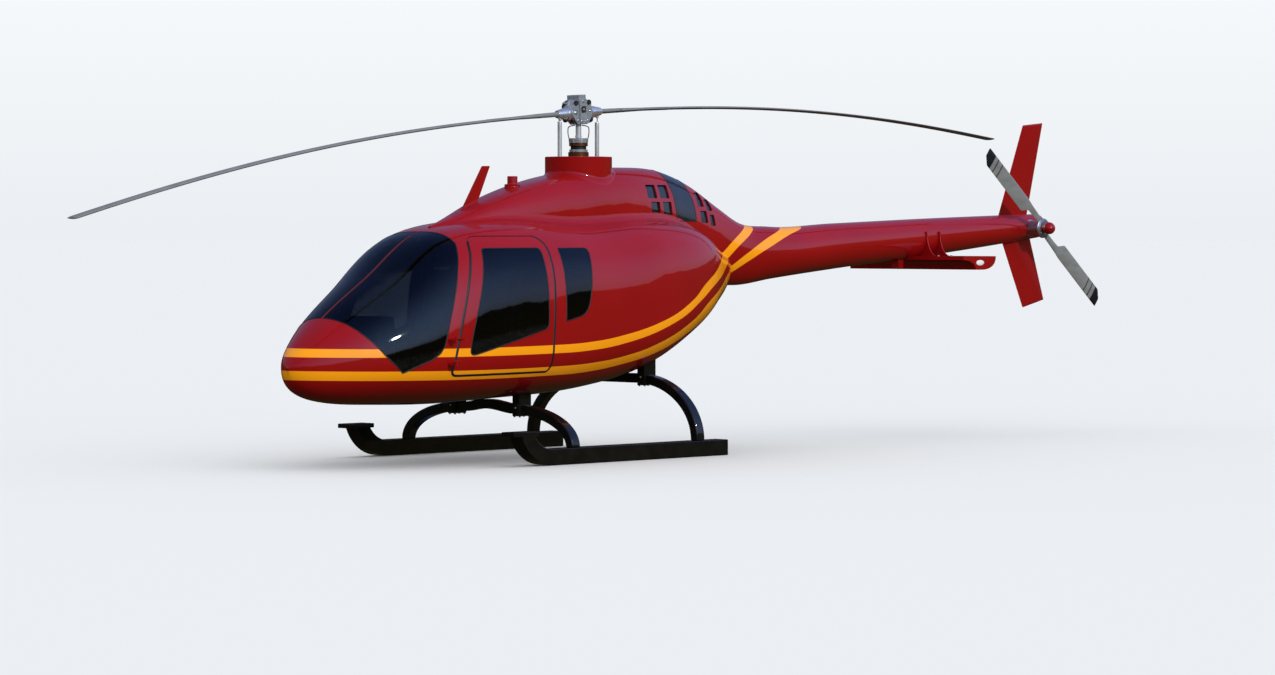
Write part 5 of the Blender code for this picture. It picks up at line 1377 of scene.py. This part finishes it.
# %% Fins
FINS = {"fin_upper": [(-6.055, 2.15), (-6.465, 3.120), (-6.790, 3.150), (-6.520, 2.15)],
        "fin_lower": [(-6.090, 2.0), (-6.470, 1.242), (-6.815, 1.320), (-6.570, 2.0)]}
FIN_THICK = 0.030


def fin(name, outline, count=56):
    """Point = lead (1 - c) + trail c, with c = (1 - cos a)/2, and y = thick/2 sin a (.72 - .28 cos a).

    In the last part of the span both are drawn in by the square root of what is left, which rounds the tip.
    """
    lead0, lead1, trail1, trail0 = np.array(outline, float)
    s = np.concatenate([np.linspace(0, 0.985, 12), [0.992, 0.997, 1.0]])[:, None, None]
    full = np.clip((1.0 - s) / 0.015, 0, 1) ** 0.5
    a = np.linspace(0, 2 * math.pi, count, endpoint=False)[None, :, None]
    c = 0.5 - 0.5 * np.cos(a) * (0.985 + 0.015 * full)
    flat = (lead0 + (lead1 - lead0) * s) * (1 - c) + (trail0 + (trail1 - trail0) * s) * c
    y = FIN_THICK / 2 * np.sin(a) * (0.72 - 0.28 * np.cos(a)) * (0.25 + 0.75 * full)
    return skin_mesh(name, np.concatenate([flat[..., :1], y, flat[..., 1:]], -1))


for name, outline in FINS.items():
    add_piece(name + "_skin", fin(name, outline), RED_PAINT, "airframe", [name], 35)
print("fins of", FIN_THICK, "m")

# %% Stabiliser, its lamps and its webs
STAB_X, STAB_CHORD, STAB_HALF, STAB_Z, STAB_DEEP, STAB_FACE = -4.525, 0.500, 0.822, 1.785, 0.133, 0.037
a = np.linspace(0, math.pi / 2, 20)
belly = np.stack([STAB_X - 0.19 * np.sin(a),
                  STAB_Z - STAB_FACE - (STAB_DEEP - STAB_FACE) * (1 - np.cos(a))], -1)
heel = np.stack([STAB_X - 0.30 - (STAB_CHORD - 0.30) * np.sin(a), STAB_Z - STAB_DEEP * np.cos(a) ** 0.8], -1)
stab_outline = np.concatenate([[(STAB_X, STAB_Z)], belly, heel])
plane = side_prism("stabiliser", stab_outline, -STAB_HALF, STAB_HALF)
LAMP_X, LAMP_Z, LAMP_LONG, LAMP_HIGH = -4.787, 1.722, 0.065, 0.028
LENS_RINGS = [(0.985, -0.011), (0.985, -0.004), (0.95, -0.002), (0.75, 0.0004), (0.45, 0.0016), (0.2, 0.0019)]
for side, sign in SIDES.items():
    round_x, round_z = circle(1.0, 48).T
    ellipse = circle(1.0, 48) * (LAMP_LONG, LAMP_HIGH) + (LAMP_X, LAMP_Z)
    plane = carved(plane, side_prism("lamp_well", ellipse, *sorted((sign * (STAB_HALF - 0.012), sign * 0.9))))
    lens_rows = [np.stack([LAMP_X + LAMP_LONG * k * round_x, np.full(48, sign * (STAB_HALF + out - 0.003)),
                           LAMP_Z + LAMP_HIGH * k * round_z], -1) for k, out in LENS_RINGS]
    add_piece("tail_lamp_" + side, skin_mesh("lamp", np.array(lens_rows)), LENS_WHITE, "airframe")
add_piece("stabiliser_skin", plane, RED_PAINT, "airframe", ["stabiliser"], 25, 0.003)
webs, studs = [], []
for x in (-4.70, -4.90):
    for sign in (1, -1):
        a = np.linspace(0, math.pi / 2, 24)
        out, up = 0.340 - 0.135 * np.sin(a), 0.243 * (1 - np.cos(a))
        inner = [(0.10, STAB_Z + 0.240), (0.05, STAB_Z - 0.004), (0.340, STAB_Z - 0.004)]
        web = np.concatenate([np.stack([out, STAB_Z + up], -1), inner]) * (sign, 1)
        webs.append(prism("web", web, (x, 0, 0), Y_AXIS, Z_AXIS, 0.012))
        studs.append(lathe("stud", [(0, 0), (0.012, 0), (0.012, 0.004), (0.008, 0.008), (0, 0.009)],
                           (x, sign * 0.352, STAB_Z), Z_AXIS, 20))
boom_solid = upper_skin("boom_solid", -2.6, -6.6, -0.001, 60, 96)
webs = carved(joined("webs", webs), boom_solid)
add_piece("stabiliser_webs", webs, RED_PAINT, "airframe", (), 30, 0.001)
add_piece("stabiliser_studs", joined("studs", studs), STEEL, "airframe")
foot = box("foot", (STAB_X + 0.0003, -0.05, 1.66), (STAB_X + 0.075, 0.05, 1.84))
foot = carved(foot, upper_skin("boom_solid", -2.6, -6.6, -0.0003, 60, 96))
add_piece("stabiliser_foot_skin", foot, RED_PAINT, "airframe", ["stabiliser_foot"], 30, 0.006)
print("stabiliser", 2 * STAB_HALF, "m wide with", len(studs), "studs")

# %% [markdown]
# ## Landing gear
# Two flat-sided runners curve up at the front to a step, and two arched tubes carry the body. Clamps
# hold the tubes to the belly. On the real gear these are pressed and bent, with eased edges: an outline
# with many points gives the bends, and a Bevel modifier the edges that catch the light.

# %% Skids
SKID_Y, SKID_HIGH, SKID_WIDE = 1.067, 0.1413, 0.165
SKID_REAR, SKID_BEND_X, SKID_BEND_R, SKID_TIP_Z = -0.780, 1.455, 0.400, 0.262
STEP_X, STEP_THICK = (1.630, 1.925), 0.040


def bend(radius, steps=24):
    """Arc from level up to the tip's height: x = bend + r sin a, z = R - r cos a."""
    top = math.acos((SKID_BEND_R - SKID_TIP_Z) / radius)
    a = np.linspace(0, top, steps + 1)
    return np.stack([SKID_BEND_X + radius * np.sin(a), SKID_BEND_R - radius * np.cos(a)], -1)


(step_rear, step_front), step_top = STEP_X, SKID_TIP_Z + STEP_THICK
step_end = [(step_front, SKID_TIP_Z), (step_front, step_top), (step_rear, step_top), (step_rear, SKID_TIP_Z)]
skid_outline = np.concatenate([[(SKID_REAR, 0)], bend(SKID_BEND_R), step_end,
                               bend(SKID_BEND_R - SKID_HIGH)[::-1], [(SKID_REAR, SKID_HIGH)]])
for side, sign in SIDES.items():
    y = sign * SKID_Y
    mesh = side_prism("skid", skid_outline, y - SKID_WIDE / 2, y + SKID_WIDE / 2)
    add_piece("runner_" + side, mesh, GEAR_BLACK, "airframe", ["skid_" + side], 25, 0.005)

# %% Cross tubes
TUBES = {"front": (1.1315, 0.500, 0.035), "rear": (-0.4616, 0.730, 0.0)}
TUBE_LONG, TUBE_THICK, CLAMP_Y = 0.100, 0.085, 0.42


def arch(top, crown, thick):
    """Front outline: two legs on quarter ellipses, and between them a crown of height c (1 - s^2)^2."""
    mid, foot, inner = top - TUBE_THICK / 2, SKID_HIGH + 0.0003, CLAMP_Y * 0.8
    reach, rise = SKID_Y - inner, mid - foot
    a = np.linspace(0, math.pi / 2, 32)
    line = np.stack([inner + reach * np.cos(a), foot + rise * np.sin(a)], -1)
    normal = np.stack([np.cos(a) * rise, np.sin(a) * reach], -1)
    normal /= np.linalg.norm(normal, axis=1)[:, None]
    s = np.linspace(1, -1, 17)[1:-1]
    over = np.stack([inner * s, mid + crown * (1 - s**2) ** 2], -1)
    outer, under = line + normal * thick / 2, line - normal * thick / 2
    mirror = np.array((-1, 1))
    return np.concatenate([outer, over + (0, thick / 2), outer[::-1] * mirror, under * mirror,
                           over[::-1] - (0, thick / 2), under[::-1]])


for end, (x, top, crown) in TUBES.items():
    mesh = prism("tube", arch(top, crown, TUBE_THICK), (x, 0, 0), Y_AXIS, Z_AXIS, TUBE_LONG)
    add_piece("arched_tube_" + end, mesh, GEAR_BLACK, "airframe", ["cross_tube_" + end], 25,
              0.009)
print("skids and arched tubes made")

# %% Clamps with their bolts
outer_again = egg("clamp_trim", -0.0003, 120, 160)
bolts = []
for end, (x, top, crown) in TUBES.items():
    for side, sign in SIDES.items():
        y, low = sign * CLAMP_Y, top - TUBE_THICK - 0.020
        block = [box("clamp", (x - 0.075, y - 0.045, low), (x + 0.075, y + 0.045, top + 0.30)),
                 box("strap", (x - 0.080, y - 0.030, low), (x + 0.080, y + 0.030, top + 0.012))]
        block = joined("clamp", [carved(part, outer_again.copy()) for part in block])
        add_piece("clamp_block_%s_%s" % (end, side), block, GEAR_BLACK, "airframe",
                  ["clamp_%s_%s" % (end, side)], 30, 0.005)
        for dx in (-0.058, 0.058):
            for dy in (-0.034, 0.034):
                bolts += bolt((x + dx, y + dy, low), (0, 0, -1), 0.009, 0.010)
        for dx in (-1, 1):
            bolts += bolt((x + dx * 0.080, y, top - 0.030), (dx, 0, 0), 0.008, 0.007)
add_piece("clamp_bolts", joined("bolts", bolts), STEEL, "airframe", sharp=30)
print("clamp bolts:", len(bolts) // 2)

# %% [markdown]
# ## Fittings on the roof
# A blade stands on the roof to cut wires, and a red beacon sits behind it. The blade is a flat plate cut to
# the roof's curve, and the beacon a turned base with a ribbed lamp glass.

# %% Wire cutter and beacon
cutter_outline = rounded([(1.575, 2.06), (1.212, 2.622), (1.128, 2.623), (1.322, 2.215), (1.300, 2.160)],
                         [0, 0.012, 0.012, 0.05, 0], 6)
roof = upper_skin("roof", UPPER_X[0], -1.0, -0.0005, 90, 128)
cutter = carved(side_prism("cutter", cutter_outline, -0.0105, 0.0105), roof.copy())
add_piece("cutter_blade", cutter, RED_PAINT, "airframe", ["wire_cutter"], 30, 0.003)
beacon = [(0.0, 2.35), (0.072, 2.35), (0.072, 2.440), (0.0705, 2.443), (0.072, 2.446), (0.072, 2.458),
          (0.069, 2.461), (0.050, 2.463), (0.048, 2.466)]
for z in 2.470 + 0.010 * np.arange(6):
    beacon += [(0.0470, z), (0.0455, z + 0.003), (0.0455, z + 0.006), (0.0470, z + 0.009)]
beacon += [(0.046, 2.531), (0.042, 2.534), (0.0, 2.534)]
lamp = carved(lathe("beacon", beacon, (0.84, 0, 0), Z_AXIS, 64), roof)
add_piece("beacon_lamp", lamp, RED_PAINT, "airframe", ["beacon"], 30)
print("roof fittings made")

# %% [markdown]
# ## Inside the cabin
# Through the tinted panes one sees two front seats, a rear bench, and the panel with its dials. The real
# cushions are foam under cloth, pulled in by a seam along each edge and by sewn channels. The front seats'
# blocks and the middle bench pad are blown up by Blender's cloth simulation inside scene.py: a coarse closed
# block is given a little pressure and its swelling is capped. The other pads keep their block's shape, and on
# all of them the seams are drawn in afterwards.

# %% Cushion blocks
INNER_SKIN = egg("inner_trim", WALL + 0.004, 90, 112)


def pad_grid(name, centre, u, v, wide, deep, thick, steps=26):
    """A closed block on rings |x|^7 + |y|^7 = k^7 in the plane of u and v, thinner near its rim."""
    a = np.linspace(0, 2 * math.pi, steps * 4, endpoint=False)
    c, s = np.cos(a), np.sin(a)
    r = (np.abs(c) ** 7 + np.abs(s) ** 7) ** (-1 / 7)
    around = np.stack([r * c, r * s], -1)
    across = np.concatenate([np.linspace(0.08, 0.92, steps // 2), 1 - 0.08 * np.cos(np.linspace(0.5, 1.5, 4))])
    rise = np.where(across < 0.93, 1.0, np.sqrt(np.clip(1 - ((across - 0.90) / 0.101) ** 2, 0, 1)))
    u, v = np.array(u, float), np.array(v, float)
    w = np.cross(u, v)
    top = (np.array(centre) + around[None, :, :1] * across[:, None, None] * wide / 2 * u
           + around[None, :, 1:] * across[:, None, None] * deep / 2 * v + rise[:, None, None] * thick / 2 * w)
    low = top[::-1] - 2 * rise[::-1, None, None] * thick / 2 * w
    grid = np.concatenate([top, low])
    return skin_mesh(name, grid, (np.array(centre) + w * thick / 2, np.array(centre) - w * thick / 2))


def blown(mesh, cap, pressure=4.0, frames=20):
    """Cloth with pressure and no gravity; each point then moves at most so far from where it was."""
    start = points_of(mesh)
    pad = bpy.data.objects.new("pad_in_work", mesh)
    scene.collection.objects.link(pad)
    cloth = pad.modifiers.new("cloth", "CLOTH")
    cloth.settings.use_pressure, cloth.settings.uniform_pressure_force = True, pressure
    cloth.settings.effector_weights.gravity = 0.0
    cloth.settings.quality = 4
    cloth.point_cache.frame_start, cloth.point_cache.frame_end = 1, frames
    for k in range(1, frames + 1):
        scene.frame_set(k)
    done = pad.evaluated_get(bpy.context.evaluated_depsgraph_get()).to_mesh()
    moved = points_of(done) - start
    length = np.linalg.norm(moved, axis=1)[:, None]
    scene.frame_set(1)
    bpy.data.objects.remove(pad, do_unlink=True)
    return start + moved * np.minimum(1, cap / np.maximum(length, 1e-9)), start


def cushion(name, centre, v, wide, deep, thick, channels=3, simulate=True):
    """A crowned pad across the cabin: blown when simulate is set, then drawn in along a rim seam and along sewn
    channels.
    """
    u = Y_AXIS
    mesh = pad_grid(name, centre, u, v, wide - 0.03, deep - 0.03, thick - 0.03)
    if simulate:
        points, start = blown(mesh, 0.022)
    else:
        points = start = points_of(mesh)
    u, v = np.array(u, float), np.array(v, float)
    w = np.cross(u, v)
    flat = start - (MAST_X, 0, 0) - np.array(centre)
    a, b, up = flat @ u / (wide / 2), flat @ v / (deep / 2), flat @ w / (thick / 2)
    rim = np.maximum(np.abs(a), np.abs(b))
    middle = (MAST_X, 0, 0) + np.array(centre)
    grown_by = (points - middle) @ w
    crown = 0.016 * np.clip(1 - a**2, 0, 1) * np.clip(1 - b**2, 0, 1) * np.sign(up)
    inside = np.clip((0.90 - rim) / 0.1, 0, 1)
    lines = np.linspace(-1, 1, channels + 2)[1:-1]
    dip = sum(np.exp(-((b - line) * deep / 2 / 0.008) ** 2) for line in lines)
    frame_dip = np.exp(-((rim - 0.80) * wide / 2 / 0.007) ** 2)
    grown_by = grown_by + crown - np.sign(up) * (0.008 * dip * inside + 0.006 * frame_dip)
    side = points - middle - ((points - middle) @ w)[:, None] * w
    full = middle + side + grown_by[:, None] * w
    mesh.vertices.foreach_set("co", full.ravel())
    mesh.update()
    piece = add_piece(name, mesh, CLOTH, "airframe", sharp=80)
    finer = piece.modifiers.new("finer", "SUBSURF")
    finer.levels = finer.render_levels = 1


# %% Seats
FLOOR_Z, SEAT_Y, SEAT_HALF = 0.8003, 0.36, 0.235
lean = np.array((-0.19, 0, 0.98))
lean /= np.linalg.norm(lean)
SEAT = rounded([(1.955, FLOOR_Z), (1.955, 0.985), (1.52, 0.965), (1.475, 1.02), (1.345, 1.700),
                (1.255, 1.695), (1.375, 0.86), (1.375, FLOOR_Z)], [0, 0.03, 0.06, 0.06, 0.03, 0.03, 0.05, 0], 6)
for side, sign in SIDES.items():
    y = sign * SEAT_Y
    cushion("seat_pad_" + side, (1.715, y, 1.035), (-1, 0, -0.07), 0.45, 0.47, 0.10)
    cushion("seat_back_" + side, (1.395, y, 1.385), lean, 0.43, 0.60, 0.085, channels=4)
    add_piece("seat_shell_" + side, side_prism("seat_shell", SEAT, y - SEAT_HALF, y + SEAT_HALF), TRIM,
              "airframe", ["seat_" + side], 30, 0.012)
BENCH = rounded([(0.54, FLOOR_Z), (0.54, 1.03), (0.13, 0.985), (-0.035, 1.69), (-0.165, 1.69),
                 (-0.07, FLOOR_Z)], [0, 0.03, 0.05, 0.03, 0.03, 0], 6)
bench = carved(side_prism("bench", BENCH, -0.60, 0.60), INNER_SKIN.copy(), "INTERSECT")
add_piece("bench_shell", bench, TRIM, "airframe", ["rear_bench"], 30, 0.006)
for k, (y, wide) in enumerate(((0.395, 0.33), (0.0, 0.385), (-0.395, 0.33))):
    cushion("bench_pad_%d" % k, (0.315, y, 1.065), (-1, 0, -0.11), 0.385, 0.42, 0.09, simulate=k == 1)
    cushion("bench_back_%d" % k, (0.055, y * 0.93, 1.365), lean, wide, 0.56, 0.08, channels=4, simulate=False)

# %% Belts


def smooth_line(points, count):
    """Points spread along a smooth curve through a few given ones."""
    points = np.array(points, float)
    run = np.linspace(0, len(points) - 1, count)
    return np.stack([curve_through(run, np.arange(len(points)), column) for column in points.T], -1)


BELT_LINE = smooth_line([(1.300, 1.715), (1.375, 1.66), (1.435, 1.52), (1.475, 1.36), (1.515, 1.22),
                         (1.575, 1.135)], 40)
WEBBING = [(-0.001, -0.022), (-0.001, 0.022), (0.001, 0.022), (0.001, -0.022)]
straps = []
for sign in (1, -1):
    for dy in (-0.11, 0.11):
        y = np.full(40, sign * SEAT_Y + dy * 0.9) - dy * 0.6 * np.linspace(0, 1, 40)
        line = np.stack([BELT_LINE[:, 0] + 0.008, y, BELT_LINE[:, 1]], -1)
        straps.append(sweep("strap", line, WEBBING, np.repeat([(0.98, 0, 0.19)], 40, 0)))
add_piece("shoulder_belts", joined("belts", straps), TRIM, "airframe")
print("belts:", len(straps))

# %% Panel with its dials
PANEL_X, RING_WIDE = 2.561, 0.006
panel = rounded([(2.560, FLOOR_Z), (2.795, FLOOR_Z), (2.795, 1.145), (2.70, 1.312), (2.565, 1.295)],
                [0, 0, 0.03, 0.05, 0.03], 6)
panel = carved(side_prism("panel", panel, -0.325, 0.325), INNER_SKIN.copy(), "INTERSECT")
add_piece("panel_shell", panel, TRIM, "airframe", ["instrument_panel"], 30, 0.008)
FIVE, FOUR = (-0.24, -0.12, 0.0, 0.12, 0.24), (-0.18, -0.06, 0.06, 0.18)
rings, faces = [], []
for z, ys, radius in ((1.235, FIVE, 0.040), (1.135, FIVE, 0.040), (1.035, FOUR, 0.036)):
    inner = radius - RING_WIDE
    ring = [(inner, 0), (radius, 0), (radius, 0.006), (radius - 0.003, 0.008), (inner, 0.006)]
    needle = [(-0.002, -0.004), (0.002, -0.004), (0.0008, radius * 0.7), (-0.0008, radius * 0.7)]
    for y in ys:
        rings.append(lathe("ring", ring, (PANEL_X, y, z), (-1, 0, 0), 28))
        faces.append(lathe("face", [(0, 0.002), (inner, 0.002), (inner, 0.003), (0, 0.003)], (PANEL_X, y, z),
                           (-1, 0, 0), 28))
        faces.append(prism("needle", needle, (PANEL_X - 0.004, y, z), (0, 0.8, 0.6), (0, -0.6, 0.8), 0.001))
add_piece("dial_rings", joined("rings", rings), STEEL, "airframe")
add_piece("dial_faces", joined("faces", faces), LENS_WHITE, "airframe")
print("panel with", len(rings), "dials")

# %% Sticks and pedals
PEDAL = rounded([(2.44, 0.90), (2.455, 0.905), (2.49, 1.00), (2.475, 1.005)], [0.004] * 4, 3)
sticks = []
for y in (SEAT_Y, -SEAT_Y):
    line = smooth_line([(2.13, y, 0.80), (2.10, y, 0.95), (2.07, y, 1.10), (2.09, y, 1.20)], 30)
    sticks.append(tube("stick", line, 0.013))
    sticks.append(tube("grip", [(2.088, y, 1.18), (2.092, y, 1.23), (2.105, y, 1.29)], 0.021, 16))
    for middle in (y - 0.09, y + 0.09):
        sticks.append(side_prism("pedal", PEDAL, middle - 0.035, middle + 0.035))
        arm = [(2.47, middle, 0.93), (2.50, middle, 0.86), (2.52, middle, 0.80)]
        sticks.append(tube("arm", arm, 0.008))
add_piece("sticks_and_pedals", joined("sticks", sticks), GEAR_BLACK, "airframe")
print("stick and pedal parts:", len(sticks))

# %% [markdown]
# ## What the CAD keeps
# The floor, the bulkhead, the hinge lugs, the engine and its gearbox, and the screen behind the cooling
# openings already have the right shape. They keep the CAD mesh and get a finish of their own.

# %% Finishes for the CAD's own pieces
KEPT = {"cabin_floor": TRIM, "rear_bulkhead": TRIM, "engine_screen": GRILLE, "transmission": ENGINE,
        "engine": ENGINE}
KEPT.update({name: BODY_PAINT for name in frame["nodes"] if name.startswith("hinge_lug")})
for name, finish in KEPT.items():
    for slot_of in bpy.data.objects[name].material_slots:
        slot_of.material = finish
print("kept from the CAD:", len(KEPT), "nodes")
